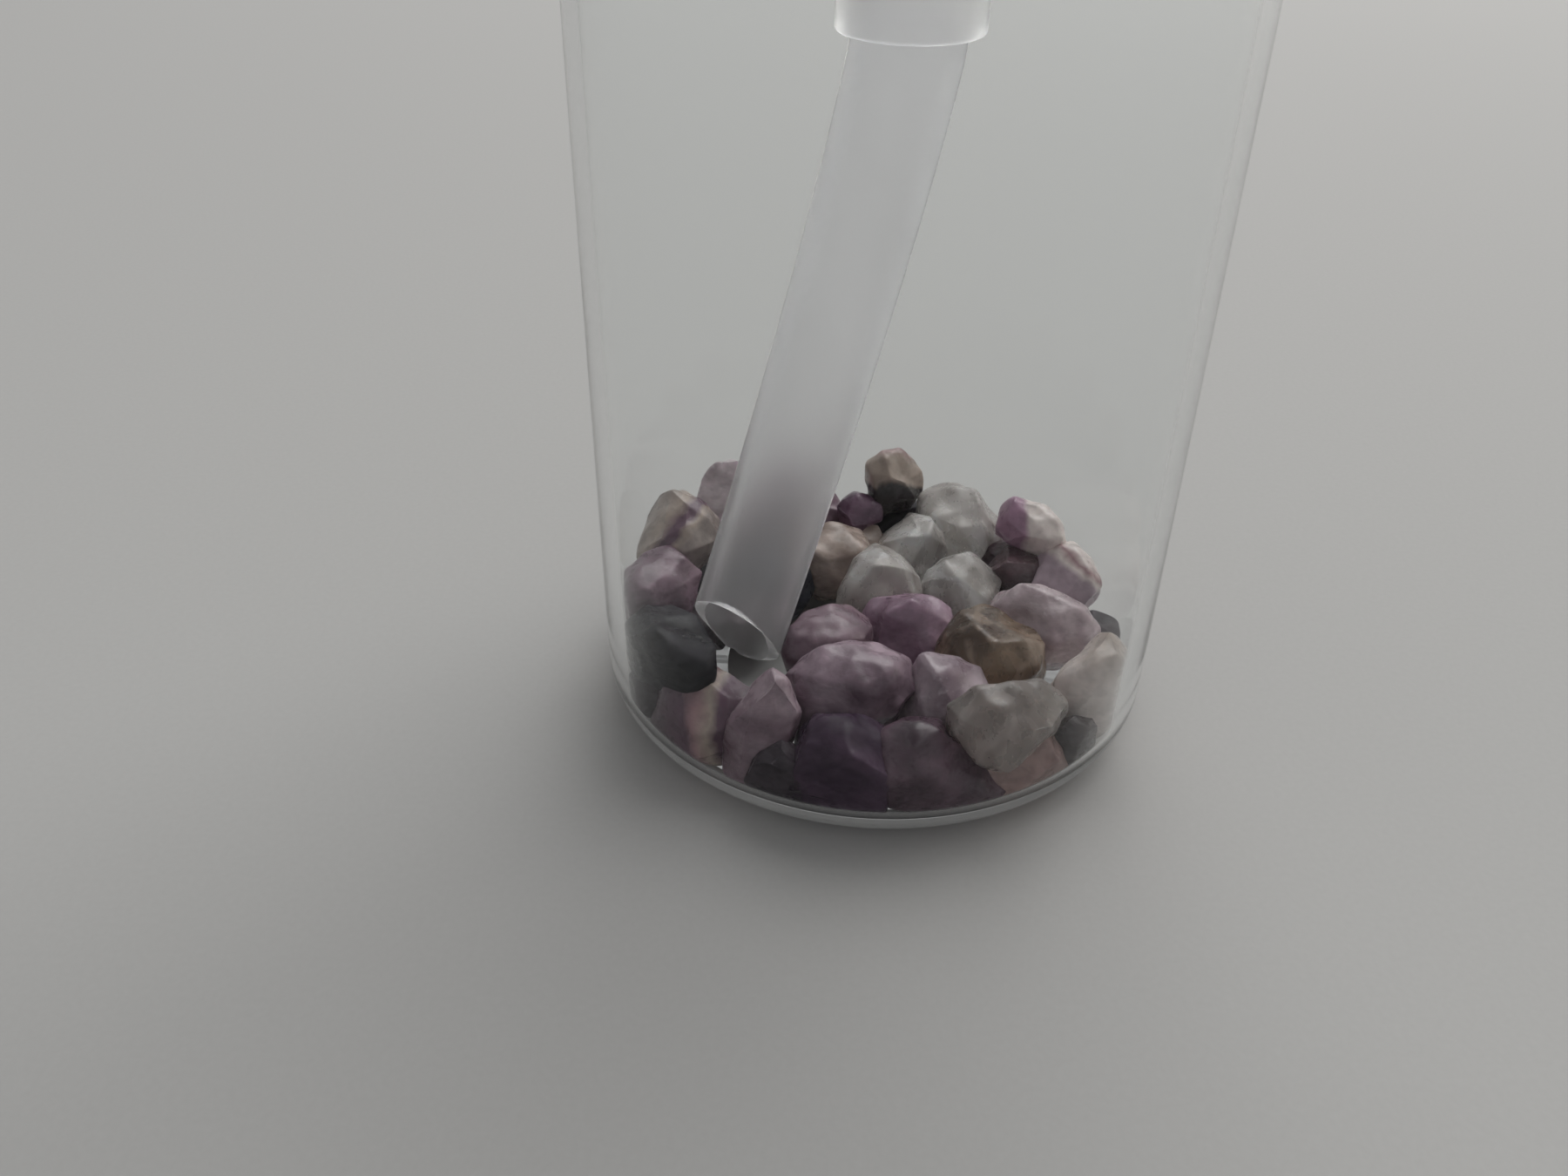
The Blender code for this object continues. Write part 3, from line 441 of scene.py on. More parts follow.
def thread_ridge(name, root, crest, widths, low):
    deselect()
    middle = ((root + crest) / 2, 0, low)
    bpy.ops.mesh.primitive_plane_add(size=1, location=middle, rotation=(math.pi / 2, 0, 0))
    ridge = bpy.context.object
    ridge.name = name
    ridge.scale = (abs(crest - root), widths[0], 1)
    settle_place(ridge)
    edit(ridge)
    bpy.ops.mesh.delete(type="ONLY_FACE")
    pick(ridge, lambda vertex: abs(vertex.co.x - crest) < WELD)
    bpy.ops.transform.resize(value=(1, 1, widths[1] / widths[0]), center_override=(crest, 0, low))
    rise = THREAD_PITCH * THREAD_TURNS
    steps = {"steps": THREAD_STEPS, "render_steps": THREAD_STEPS}
    modify(ridge, "SCREW", angle=math.tau * THREAD_TURNS, screw_offset=rise, **steps)
    last = THREAD_STEPS
    for k in range(THREAD_FADE):
        sunk = root + (crest - root) * (THREAD_START + (1 - THREAD_START) * k / THREAD_FADE)
        ends = (k, last - k)
        pick(
            ridge,
            lambda vertex: vertex.index // 4 in ends
            and abs(math.hypot(vertex.co.x, vertex.co.y) - crest) < WELD,
        )
        bpy.ops.transform.resize(value=(sunk / crest, sunk / crest, 1), center_override=(0, 0, 0))
    bpy.ops.mesh.select_all(action="SELECT")
    bpy.ops.mesh.fill_holes(sides=4)
    bpy.ops.mesh.normals_make_consistent(inside=False)
    bpy.ops.object.mode_set(mode="OBJECT")
    print(name, "has", len(ridge.data.polygons), "faces")
    return ridge


def combine(piece, other, operation, angle):
    """Unites a piece with another or cuts the other out of it, and clears up the seam."""
    modify(piece, "BOOLEAN", operation=operation, object=other, solver="EXACT")
    bpy.data.objects.remove(other)
    edit(piece)
    bpy.ops.mesh.remove_doubles(threshold=SEAM)
    bpy.ops.mesh.dissolve_degenerate(threshold=SEAM)
    bpy.ops.object.mode_set(mode="OBJECT")
    smooth(piece, angle)


neck_crest = NECK_R + THREAD_DEPTH
neck_thread = thread_ridge("neck_thread", NECK_R - THREAD_BITE, neck_crest, THREAD_WIDTHS, THREAD_LOW)
combine(bottle, neck_thread, "UNION", SHARP)
dress(bottle, bottle_clear, "bottle", "clear_pet", "bottle")

# %% [markdown]
# ## The dip tube
#
# The tube hangs straight from the pump's tail, then bends ever more towards the wall.
# A curve with a round bevel follows that line and is made a mesh. The end is cut on the
# slant, so that it cannot stand flat on a stone and block. Bisect makes that cut while the
# tube is still a single skin, and Solidify then gives the soft wall its thickness inwards.

# %% Bent bars
TUBE_R = 3.1 * MM
TUBE_WALL = 0.7 * MM
TUBE_END = 4.5 * MM  # height of the middle of the end
TUBE_SPARE = 3.0 * MM  # length below it that the slanted cut takes off
TUBE_REACH = INNER_R - TUBE_R - 3.5 * MM
TUBE_HEADING = math.radians(205)
TUBE_BEND = 1.15
TUBE_POINTS = 51
TUBE_ROUNDING = 14
_, tail_low, _ = span("pump_housing")
tube_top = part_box("dip_tube")[1].z


def tube_point(height):
    fall = max(tail_low - height, 0.0) / (tail_low - TUBE_END)
    out = TUBE_REACH * fall**TUBE_BEND
    return Vector((out * math.cos(TUBE_HEADING), out * math.sin(TUBE_HEADING), height))


def bent_bar(name, points, radius, rounding, capped):
    """A round bar along a line of points, made a mesh."""
    deselect()
    bpy.ops.curve.primitive_nurbs_path_add(radius=1, location=(0, 0, 0))
    bar = bpy.context.object
    bar.name = name
    bar.data.splines.clear()
    path = bar.data.splines.new("POLY")
    path.points.add(len(points) - 1)
    for point, place in zip(path.points, points):
        point.co = (*place, 1)
    bar.data.bevel_depth = radius
    bar.data.bevel_resolution = rounding
    bar.data.use_fill_caps = capped
    choose(bar)
    bpy.ops.object.convert(target="MESH")
    bar = bpy.context.object
    edit(bar)
    bpy.ops.mesh.remove_doubles(threshold=WELD)
    bpy.ops.mesh.normals_make_consistent(inside=False)
    bpy.ops.object.mode_set(mode="OBJECT")
    return bar


drop = tube_top - TUBE_END + TUBE_SPARE
tube_line = [tube_point(tube_top - drop * i / (TUBE_POINTS - 1)) for i in range(TUBE_POINTS)]
tube = bent_bar("milky_dip_tube", tube_line, TUBE_R, TUBE_ROUNDING, False)
print("tube is", round(drop / MM, 1), "mm tall before its end is cut")

# %% Slanted end and wall
CUT_SLANT = math.radians(42)  # 0 would be square
CUT_FACING = math.radians(243)  # the way that the open end faces, seen from above
CUT_LIFT = 1.3 * MM  # middle of the slant above the middle of a square end

along = (tube_point(TUBE_END) - tube_point(TUBE_END + MM)).normalized()
facing = Vector((math.cos(CUT_FACING), math.sin(CUT_FACING), 0))
facing = (facing - along * facing.dot(along)).normalized()
slant = along * math.cos(CUT_SLANT) + facing * math.sin(CUT_SLANT)
cut_middle = tube_point(TUBE_END + CUT_LIFT)
edit(tube)
bpy.ops.mesh.bisect(plane_co=cut_middle, plane_no=slant, clear_outer=True)
bpy.ops.object.mode_set(mode="OBJECT")
modify(tube, "SOLIDIFY", thickness=TUBE_WALL, offset=-1)
smooth(tube, 50)
dress(tube, tube_milk, "pump", "natural_pe", "dip_tube")

# %% [markdown]
# ## The stones
#
# Tumbled chips keep traces of the flats they broke along, with every edge worn round. A
# fine ball is laid round each chip's solid and shrunk onto it, which finds the flats.
# Smoothing wears the edges. Each stone is then enlarged a little, so that neighbours lie
# against each other as poured chips do, and a displacement leaves shallow dents. Last it
# is kept inside the bottle and off the tube.

# %% Stone shapes
CHIP_COUNT = 42
WEAR = 7  # passes of smoothing
DENT_SIZE = 2.8 * MM
DENT_DEPTH = 0.9 * MM
SWELL = 0.85  # millimetres, closes the gaps that the solids leave between them
SWELLS = {
    0.4: (24, 38, 40, 42),
    0.5: (5, 36, 41),
    0.7: (8, 14, 20, 30, 34),
    1.0: (10, 18, 33),
    1.2: (9, 15, 31),
    1.5: (11, 12, 13, 16),
}
swell_of = {number: swell for swell, numbers in SWELLS.items() for number in numbers}
CLEAR_OF_WALL = 0.06 * MM
BALL_ROOM = 0.62  # radii of the first ball as shares of a chip's box

dents = bpy.data.textures.new("dents", "CLOUDS")
dents.noise_scale = DENT_SIZE
dents.noise_depth = 1


def off_the_tube(point):
    """Moves a point that lies in the tube to its side or its slanted end, whichever is nearer."""
    axis = tube_point(point.z)
    way = (axis - tube_point(point.z + MM)).normalized()
    across = point - axis
    across -= way * across.dot(way)
    to_side = TUBE_R + CLEAR_OF_WALL - across.length
    to_end = CLEAR_OF_WALL - (point - cut_middle).dot(slant)
    if min(to_side, to_end) <= 0:
        return point
    return point + (across.normalized() * to_side if to_side < to_end else slant * to_end)


def tumbled_stone(number, hollow):
    node = frame["nodes"][f"amethyst_chip_{number:02d}"]
    low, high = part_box(node.name)
    centre = (low + high) / 2
    deselect()
    bpy.ops.mesh.primitive_ico_sphere_add(subdivisions=5, radius=1, location=centre)
    stone = bpy.context.object
    stone.name = f"stone_{number:02d}"
    stone.scale = (high - low) * BALL_ROOM
    settle_place(stone)
    modify(stone, "SHRINKWRAP", target=node)
    modify(stone, "SMOOTH", factor=0.5, iterations=WEAR)
    swell = swell_of.get(number, SWELL) * MM
    edit(stone)
    growth = [1 + 2 * swell / side for side in high - low]
    bpy.ops.transform.resize(value=growth, center_override=centre)
    bpy.ops.object.mode_set(mode="OBJECT")
    dent = {"texture": dents, "texture_coords": "LOCAL", "mid_level": 0.5}
    modify(stone, "DISPLACE", strength=DENT_DEPTH, **dent)
    modify(stone, "SHRINKWRAP", target=hollow, wrap_mode="INSIDE", offset=CLEAR_OF_WALL)
    for vertex in stone.data.vertices:
        vertex.co = off_the_tube(vertex.co)
    smooth(stone, 180)
    return stone


hollow = turned("hollow", inside[2:] + [(0, MOUTH_Z)], sides=64)  # the space inside the shell
stones = {number: tumbled_stone(number, hollow) for number in range(1, CHIP_COUNT + 1)}
bpy.data.objects.remove(hollow)
print("stones:", len(stones))

# %% [markdown]
# ## The stones' finishes
#
# Amethyst chips run from smoky purple to clear quartz, some with bands of the rock they
# grew on. Three finishes cover them. Cloudy stone mixes a deep and a pale shade in soft
# zones. Crystal lets some light in and carries pale veils. Layered stone runs
# through a row of shades along one direction, with a ragged border between them.

# %% Stone finishes
STONE_GLOSS = (0.20, 0.38)
STONE_SHINE = 0.35
DARK_SHINE = 0.10  # for the nearly black ones, which would look grey otherwise
DARK = 0.1  # palest shade that counts as nearly black
RAGGED = 0.16  # how far a border between layers strays


def stone_place(finish, number, stretch):
    """Object coordinates, turned and moved by chance so that no two stones match."""
    draw = random.Random(number)
    offset = [draw.uniform(-1, 1) for _ in range(3)]
    turn = [draw.uniform(0, math.tau) for _ in range(3)]
    return finish.place(offset, turn, (1, 1, stretch))


def stone_surface(finish, colour, place, milk, mottling=1.0, shine=STONE_SHINE):
    """The parts that all stones share: fine mottling, worn gloss and depth."""
    fine = finish.noise(place, 1300, 3.0)
    shade = finish.remap(fine, 0.3, 0.7, 1 - 0.16 * mottling, 1 + 0.12 * mottling)
    tone = finish.node("HueSaturation", Value=shade, Color=colour)
    finish.set(
        Base_Color=tone.outputs["Color"],
        Roughness=finish.remap(fine, 0.3, 0.7, *STONE_GLOSS),
        Specular_IOR_Level=shine,
        Subsurface_Weight=milk,
        Subsurface_Radius=(1.0, 0.8, 1.0),
        Subsurface_Scale=1.1 * MM,
    )
    finish.bump(fine, 0.05 * MM * mottling)


def cloudy_stone(name, number, deep, pale):
    finish = Finish(name)
    place = stone_place(finish, number, 1.6)
    zones = finish.noise(place, 170, 3.0, 0.8)
    middle = [a * 0.6 + b * 0.4 for a, b in zip(deep, pale)]
    colour = finish.ramp(zones, [(0.36, deep), (0.50, middle), (0.64, pale)])
    veins = finish.noise(place, 520, 4.0, 2.2)
    bright = [min(0.9, c * 1.3 + 0.02) for c in pale]
    colour = finish.mix(finish.remap(veins, 0.60, 0.74, 0.0, 0.45), colour, bright)
    stone_surface(finish, colour, place, 0.40, shine=DARK_SHINE if max(pale) < DARK else STONE_SHINE)
    return finish.material


def crystal_stone(name, number, deep, pale, clearness):
    finish = Finish(name)
    place = stone_place(finish, number, 0.6)
    zones = finish.noise(place, 190, 2.0, 0.4)
    colour = finish.ramp(zones, [(0.36, deep), (0.62, pale)])
    veils = finish.noise(place, 330, 2.0, 1.8)
    white = [min(0.95, c * 1.2 + 0.15) for c in pale]
    colour = finish.mix(finish.remap(veils, 0.54, 0.66, 0.0, 0.7), colour, white)
    stone_surface(finish, colour, place, 0.2, mottling=0.35)
    finish.set(Transmission_Weight=clearness, IOR=1.4)
    return finish.material


def layered_stone(name, number, direction, stops):
    finish = Finish(name)
    place = stone_place(finish, number, 1.0)
    along = Vector(direction).normalized()
    reach = [along.dot(v.co) for v in stones[number].data.vertices]
    coords = finish.node("TexCoord")
    dot = finish.node("VectorMath", {"operation": "DOT_PRODUCT"})
    finish.links.new(coords.outputs["Object"], dot.inputs[0])
    dot.inputs[1].default_value = along
    share = finish.remap(dot.outputs["Value"], min(reach), max(reach), 0.0, 1.0)
    drift = finish.remap(finish.noise(place, 300, 3.0, 0.5), 0.0, 1.0, -RAGGED, RAGGED)
    total = finish.node("Math", {"operation": "ADD"})
    finish.links.new(share, total.inputs[0])
    finish.links.new(drift, total.inputs[1])
    colour = finish.ramp(total.outputs[0], stops, "LINEAR")
    stone_surface(finish, colour, place, 0.2)
    return finish.material


print("stone finishes: cloudy, crystal, layered")

# %% [markdown]
# ## Which stone is which
#
# The kind of each stone is in the record. The stones at the front and on top of the bed
# each have their own look, so their shades are set one by one, then made paler or
# deeper by comparing each stone's tone in a render with the photograph. A layered stone
# gives the direction of its layers and the shades from one end to the other.

# %% Stone shades
KINDS = {
    "grape": ((0.092, 0.050, 0.074), (0.33, 0.220, 0.280)),
    "lilac": ((0.24, 0.165, 0.205), (0.50, 0.405, 0.450)),
    "quartz": ((0.60, 0.560, 0.530), (0.88, 0.850, 0.825)),
    "banded": ((0.21, 0.150, 0.155), (0.50, 0.43, 0.40)),
    "slate": ((0.020, 0.016, 0.022), (0.080, 0.066, 0.078)),
    "sand": ((0.28, 0.210, 0.180), (0.60, 0.50, 0.45)),
    "amber": ((0.10, 0.059, 0.039), (0.37, 0.260, 0.180)),
}
SHADES = {
    1: ((0.036, 0.032, 0.040), (0.13, 0.118, 0.136)),
    6: ((0.036, 0.018, 0.025), (0.12, 0.070, 0.090)),
    10: ((0.035, 0.024, 0.028), (0.12, 0.090, 0.098)),
    11: ((0.27, 0.170, 0.160), (0.56, 0.410, 0.390)),
    12: ((0.058, 0.033, 0.048), (0.172, 0.110, 0.143)),
    13: ((0.035, 0.021, 0.040), (0.098, 0.063, 0.098)),
    14: ((0.20, 0.130, 0.165), (0.46, 0.355, 0.405)),
    18: ((0.006, 0.006, 0.009), (0.026, 0.024, 0.031)),
    20: ((0.030, 0.024, 0.030), (0.10, 0.080, 0.092)),
    # stone 21 lies behind the dip tube: its deep tone is its own, its blue tint is painted scatter of
    # the milky tube
    21: ((0.018, 0.020, 0.030), (0.078, 0.082, 0.108)),
    24: ((0.095, 0.050, 0.084), (0.34, 0.205, 0.295)),
    26: ((0.030, 0.016, 0.021), (0.13, 0.080, 0.092)),
    27: ((0.50, 0.465, 0.440), (0.74, 0.715, 0.695)),
    29: ((0.22, 0.128, 0.186), (0.48, 0.335, 0.430)),
    30: ((0.11, 0.062, 0.088), (0.26, 0.178, 0.217)),
    32: ((0.29, 0.213, 0.255), (0.71, 0.615, 0.665)),
    33: ((0.155, 0.100, 0.133), (0.46, 0.345, 0.410)),
    34: ((0.42, 0.325, 0.358), (0.72, 0.620, 0.645)),
    35: ((0.27, 0.240, 0.222), (0.50, 0.460, 0.435)),
    37: ((0.099, 0.053, 0.081), (0.265, 0.172, 0.222)),
    38: ((0.56, 0.480, 0.505), (0.86, 0.775, 0.800)),
    42: ((0.09, 0.066, 0.080), (0.24, 0.190, 0.212)),
}
CLEAR = {5: 0.42, 25: 0.45, 27: 0.45, 28: 0.42, 31: 0.45, 35: 0.45}
BLACK = (0.022, 0.017, 0.018)
DUSK = (0.10, 0.062, 0.080)
PLUM = (0.13, 0.068, 0.105)
VIOLET = (0.42, 0.250, 0.355)
ASH = (0.36, 0.310, 0.29)
HAZE = (0.50, 0.395, 0.455)
PINK = (0.40, 0.245, 0.265)
TAN = (0.41, 0.335, 0.285)
BEIGE = (0.50, 0.415, 0.36)
CHALK = (0.86, 0.775, 0.74)
LAYERS = {
    7: (
        (0.6, 0.4, 0.7),
        [(0.0, PLUM), (0.3, HAZE), (0.66, HAZE), (0.74, CHALK), (0.82, PINK), (0.9, CHALK)],
    ),
    9: ((0.2, 0, 1), [(0.0, ASH), (0.3, CHALK), (0.7, CHALK), (1.0, BEIGE)]),
    16: (
        (1, -0.3, 0.2),
        [(0.0, DUSK), (0.5, PLUM), (0.58, PINK), (0.68, BEIGE), (0.76, PLUM), (1.0, DUSK)],
    ),
    36: (
        (0.8, -0.3, -0.5),
        [(0.0, ASH), (0.3, BEIGE), (0.42, PLUM), (0.52, PLUM), (0.6, BEIGE), (0.7, ASH)],
    ),
    40: ((0, 0.56, 0.83), [(0.0, BLACK), (0.42, BLACK), (0.50, TAN), (0.80, TAN), (1.0, PINK)]),
    41: ((1, 0, 0), [(0.0, VIOLET), (0.36, VIOLET), (0.46, CHALK)]),
}
slots = {s["node"]: s["material_slot"] for s in frame["record"]["subparts"]}
for number, stone in stones.items():
    node = f"amethyst_chip_{number:02d}"
    kind = slots[node]
    deep, pale = SHADES.get(number, KINDS[kind])
    name = f"{kind}_{number:02d}"
    if number in LAYERS:
        finish = layered_stone(name, number, *LAYERS[number])
    elif number in CLEAR:
        finish = crystal_stone(name, number, deep, pale, CLEAR[number])
    else:
        finish = cloudy_stone(name, number, deep, pale)
    dress(stone, finish, "bottle", kind, node)

# %% [markdown]
# ## Moulded finishes for the pump
#
# The collar and the finger head are white moulded plastic with a fine satin skin. The
# seals are soft grey plastic. The spring and the ball are steel with faint drawn lines.

# %% Moulded finishes


def satin_plastic(name, colour, roughness):
    finish = Finish(name)
    place = finish.place()
    flow = finish.noise(finish.place(scale=(1, 1, 0.3)), 120, 3.0, 0.6)
    skin = finish.noise(place, 5200, 2.0)
    finish.set(
        Base_Color=finish.mix(flow, [c * 0.93 for c in colour], colour),
        Roughness=finish.remap(flow, 0.3, 0.7, roughness * 0.85, roughness * 1.15),
        Subsurface_Weight=0.15,
        Subsurface_Radius=(1.0, 1.0, 1.0),
        Subsurface_Scale=0.6 * MM,
    )
    finish.bump(skin, 0.012 * MM)
    return finish.material


def drawn_steel(name):
    finish = Finish(name)
    lines = finish.noise(finish.place(scale=(1, 1, 8)), 900, 4.0)
    finish.set(
        Base_Color=finish.mix(lines, (0.48, 0.48, 0.47), (0.62, 0.62, 0.60)),
        Metallic=1.0,
        Roughness=finish.remap(lines, 0.3, 0.7, 0.18, 0.34),
    )
    finish.bump(lines, 0.006 * MM)
    return finish.material


collar_white = satin_plastic("collar_white", (0.80, 0.80, 0.78), 0.38)
head_white = satin_plastic("head_white", (0.82, 0.82, 0.80), 0.32)
seal_grey = satin_plastic("seal_grey", (0.36, 0.37, 0.38), 0.5)
steel = drawn_steel("steel_drawn")
print("moulded finishes:", ", ".join(m.name for m in (collar_white, head_white, seal_grey, steel)))

# %% [markdown]
# ## The pump's housing, turret and gasket
#
# The housing hangs in the neck by its flange. Its bore is the pump chamber, then comes a
# cage for the inlet ball and last the tail, the sleeve that the dip tube is pushed into.
# The turret snaps over the housing and guides the stem. A gasket seals the flange.

# %% Housing, turret and gasket
FLANGE_R, _, housing_top = span("pump_housing")
CHAMBER_R = 5.8 * MM
CHAMBER_BORE = 4.6 * MM
FLANGE_LOW = MOUTH_Z + 1.4 * MM
FLANGE_HIGH = MOUTH_Z + 2.8 * MM
LEDGE_Z = MOUTH_Z - 24.0 * MM  # the spring stands on it
CAGE_R = 2.5 * MM
CAGE_FLOOR = LEDGE_Z - 3.0 * MM
INLET_R = 1.3 * MM
SEAT_Z = CAGE_FLOOR - (CAGE_R - INLET_R)
TAIL_R = 4.0 * MM
SOCKET_R = 3.25 * MM
SOCKET_TOP = SEAT_Z - 1.0 * MM
CONE_LOW = SOCKET_TOP + 0.36 * MM  # the housing widens from its tail to its chamber
CONE_HIGH = CAGE_FLOOR + 1.5 * MM
SOFT_EDGE = 0.25 * MM

housing = turned(
    "pump_body",
    softened(
        [
            (SOCKET_R, tail_low),
            (TAIL_R, tail_low),
            (TAIL_R, CONE_LOW),
            (CHAMBER_R, CONE_HIGH),
            (CHAMBER_R, FLANGE_LOW),
            (FLANGE_R, FLANGE_LOW),
            (FLANGE_R, FLANGE_HIGH),
            (CHAMBER_R, FLANGE_HIGH),
            (CHAMBER_R, housing_top),
            (CHAMBER_BORE, housing_top),
            (CHAMBER_BORE, LEDGE_Z),
            (CAGE_R, LEDGE_Z),
            (CAGE_R, CAGE_FLOOR),
            (INLET_R, SEAT_Z),
            (INLET_R, SOCKET_TOP),
            (SOCKET_R, SOCKET_TOP),
        ],
        SOFT_EDGE,
    ),
    sides=72,
)
dress(housing, pump_milk, "pump", "natural_pp", "pump_housing")

LIP_R, turret_low, guide_top = span("turret")
TURRET_BORE = 5.95 * MM
TURRET_R = 7.15 * MM
LIP_Z = MOUTH_Z + 5.1 * MM
LIP_EDGE = 0.66 * MM
ROOF_LOW = MOUTH_Z + 5.9 * MM
ROOF_TOP = MOUTH_Z + 7.5 * MM
GUIDE_BORE = 3.9 * MM
GUIDE_R = 5.0 * MM
STEM_HOLE = 2.35 * MM
turret = turned(
    "guide_turret",
    softened(
        [
            (TURRET_BORE, turret_low),
            (TURRET_R, turret_low),
            (TURRET_R, LIP_Z),
            (LIP_R, LIP_Z),
            (LIP_R, LIP_Z + LIP_EDGE),
            (TURRET_R, ROOF_TOP),
            (GUIDE_R, ROOF_TOP),
            (GUIDE_R, guide_top),
            (GUIDE_BORE, guide_top),
            (GUIDE_BORE, ROOF_TOP),
            (STEM_HOLE, ROOF_TOP),
            (STEM_HOLE, ROOF_LOW),
            (TURRET_BORE, ROOF_LOW),
        ],
        SOFT_EDGE,
    ),
    sides=72,
)
dress(turret, head_white, "pump", "white_pp", "turret")

GASKET_R, gasket_low, gasket_high = span("gasket")
gasket = turned(
    "neck_gasket",
    softened(
        [
            (TURRET_BORE, gasket_low),
            (GASKET_R, gasket_low),
            (GASKET_R, gasket_high),
            (TURRET_BORE, gasket_high),
        ],
        SOFT_EDGE,
    ),
    sides=72,
)
dress(gasket, seal_grey, "pump", "grey_pe", "gasket")

# %% [markdown]
# ## Stem and piston
#
# Pressing the head drives the hollow stem down, and the piston on it pushes the liquid up
# through the stem's bore. Both are turned. The piston's waist leaves two thin lips, which
# is how a real one seals against the chamber with little friction.

# %% Stem and piston
FOOT_R, stem_low, stem_top = span("stem")
STEM_R = 2.2 * MM
STEM_BORE = 1.1 * MM
FOOT_THICK = 0.8 * MM
stem = turned(
    "hollow_stem",
    softened(
        [
            (STEM_BORE, stem_low),
            (FOOT_R, stem_low),
            (FOOT_R, stem_low + FOOT_THICK),
            (STEM_R, stem_low + FOOT_THICK),
            (STEM_R, stem_top),
            (STEM_BORE, stem_top),
        ],
        SOFT_EDGE,
    ),
    sides=48,
)
dress(stem, pump_milk, "actuator", "natural_pp", "stem")

PISTON_R, piston_low, piston_high = span("piston")
PISTON_WAIST = PISTON_R - 0.5 * MM
piston_tall = piston_high - piston_low
piston = turned(
    "pump_piston",
    softened(
        [
            (STEM_HOLE, piston_low),
            (PISTON_R, piston_low),
            (PISTON_R, piston_low + piston_tall * 0.25),
            (PISTON_WAIST, piston_low + piston_tall * 0.4),
            (PISTON_WAIST, piston_low + piston_tall * 0.7),
            (PISTON_R, piston_high),
            (STEM_HOLE, piston_high),
        ],
        SOFT_EDGE,
    ),
    sides=48,
)
dress(piston, seal_grey, "actuator", "grey_pe", "piston")

# %% [markdown]
# ## Spring and ball
#
# The spring lifts the stem again, and the steel ball shuts the inlet while it is pressed.
# The spring is a round bar bent along a helix. It cannot stay rigid while the head moves.
# The ball starts as a cube, because a subdivided cube cast to a sphere has even faces
# and no poles.

# %% Spring and ball
WIRE_R = 0.35 * MM
SPRING_R = 3.4 * MM
SPRING_TURNS = 6
SPRING_STEPS = 24  # points in a turn
WIRE_ROUNDING = 4
spring_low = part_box("return_spring")[0].z
spring_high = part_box("return_spring")[1].z

helix = []
for i in range(SPRING_TURNS * SPRING_STEPS + 1):
    turn = i / SPRING_STEPS
    share = turn / SPRING_TURNS
    height = spring_low + WIRE_R + (spring_high - spring_low - 2 * WIRE_R) * share
    angle = turn * math.tau
    helix.append((SPRING_R * math.cos(angle), SPRING_R * math.sin(angle), height))
spring = bent_bar("coil_spring", helix, WIRE_R, WIRE_ROUNDING, True)
smooth(spring, 50)
dress(spring, steel, "pump", "steel", "return_spring")
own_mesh(spring)

ball_low, ball_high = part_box("check_ball")
BALL_R = (ball_high.z - ball_low.z) / 2
BALL_LEVELS = 5
deselect()
bpy.ops.mesh.primitive_cube_add(size=2 * BALL_R, location=(0, 0, ball_low.z + BALL_R))
ball = bpy.context.object
ball.name = "steel_ball"
modify(ball, "SUBSURF", levels=BALL_LEVELS, render_levels=BALL_LEVELS)
modify(ball, "CAST", factor=1.0, size=BALL_R, use_radius_as_size=False)
settle_place(ball)
smooth(ball, 60)
dress(ball, steel, "check_ball", "steel", "check_ball")

# %% [markdown]
# ## The closure
#
# The screw collar has ribs for the fingers, a plate that holds the pump down and an
# upright ring that the overcap grips. It is turned first. Then every second group of
# faces on its side is selected by angle and fattened outwards, which raises the ribs.

# %% Closure
COLLAR_R, collar_low, collar_top = span("closure")
RIBS = 32
RIB_SIDES = 6  # faces round the collar for each rib and its valley
RIB_DEPTH = 0.35 * MM
VALLEY_R = COLLAR_R - RIB_DEPTH
SKIRT_BORE = 12.25 * MM
PLATE_LOW = MOUTH_Z + 3.1 * MM
PLATE_TOP = MOUTH_Z + 4.8 * MM
PLATE_BORE = 7.45 * MM
UPSTAND_R = 11.9 * MM
UPSTAND_IN = 10.9 * MM
RIB_LOW = collar_low + 1.0 * MM
RIB_TOP = PLATE_TOP - 1.0 * MM

collar = turned(
    "ribbed_closure",
    softened(
        [
            (SKIRT_BORE, collar_low),
            (VALLEY_R, collar_low),
            (VALLEY_R, PLATE_TOP),
            (UPSTAND_R, PLATE_TOP),
            (UPSTAND_R, collar_top),
            (UPSTAND_IN, collar_top),
            (UPSTAND_IN, PLATE_TOP),
            (PLATE_BORE, PLATE_TOP),
            (PLATE_BORE, PLATE_LOW),
            (SKIRT_BORE, PLATE_LOW),
        ],
        SOFT_EDGE,
    ),
    sides=RIBS * RIB_SIDES,
)
edit(collar)
for height in (RIB_LOW, RIB_TOP):
    bpy.ops.mesh.select_all(action="SELECT")
    bpy.ops.mesh.bisect(plane_co=(0, 0, height), plane_no=(0, 0, 1))
bpy.ops.mesh.select_all(action="DESELECT")
bpy.ops.object.mode_set(mode="OBJECT")
for face in collar.data.polygons:
    middle = face.center
    outer = math.hypot(middle.x, middle.y) > VALLEY_R - 0.1 * MM
    step = math.floor(math.atan2(middle.y, middle.x) / math.tau * RIBS * RIB_SIDES) % RIB_SIDES
    face.select = outer and RIB_LOW < middle.z < RIB_TOP and step < RIB_SIDES // 2
print("rib faces:", sum(face.select for face in collar.data.polygons))
bpy.ops.object.mode_set(mode="EDIT")
bpy.ops.mesh.extrude_region_shrink_fatten(TRANSFORM_OT_shrink_fatten={"value": RIB_DEPTH})
bpy.ops.object.mode_set(mode="OBJECT")
THREAD_ROOM = 0.4 * MM  # from a crest to the wall that faces it
THREAD_SLACK = 0.85  # width of the collar's ridge beside the neck's
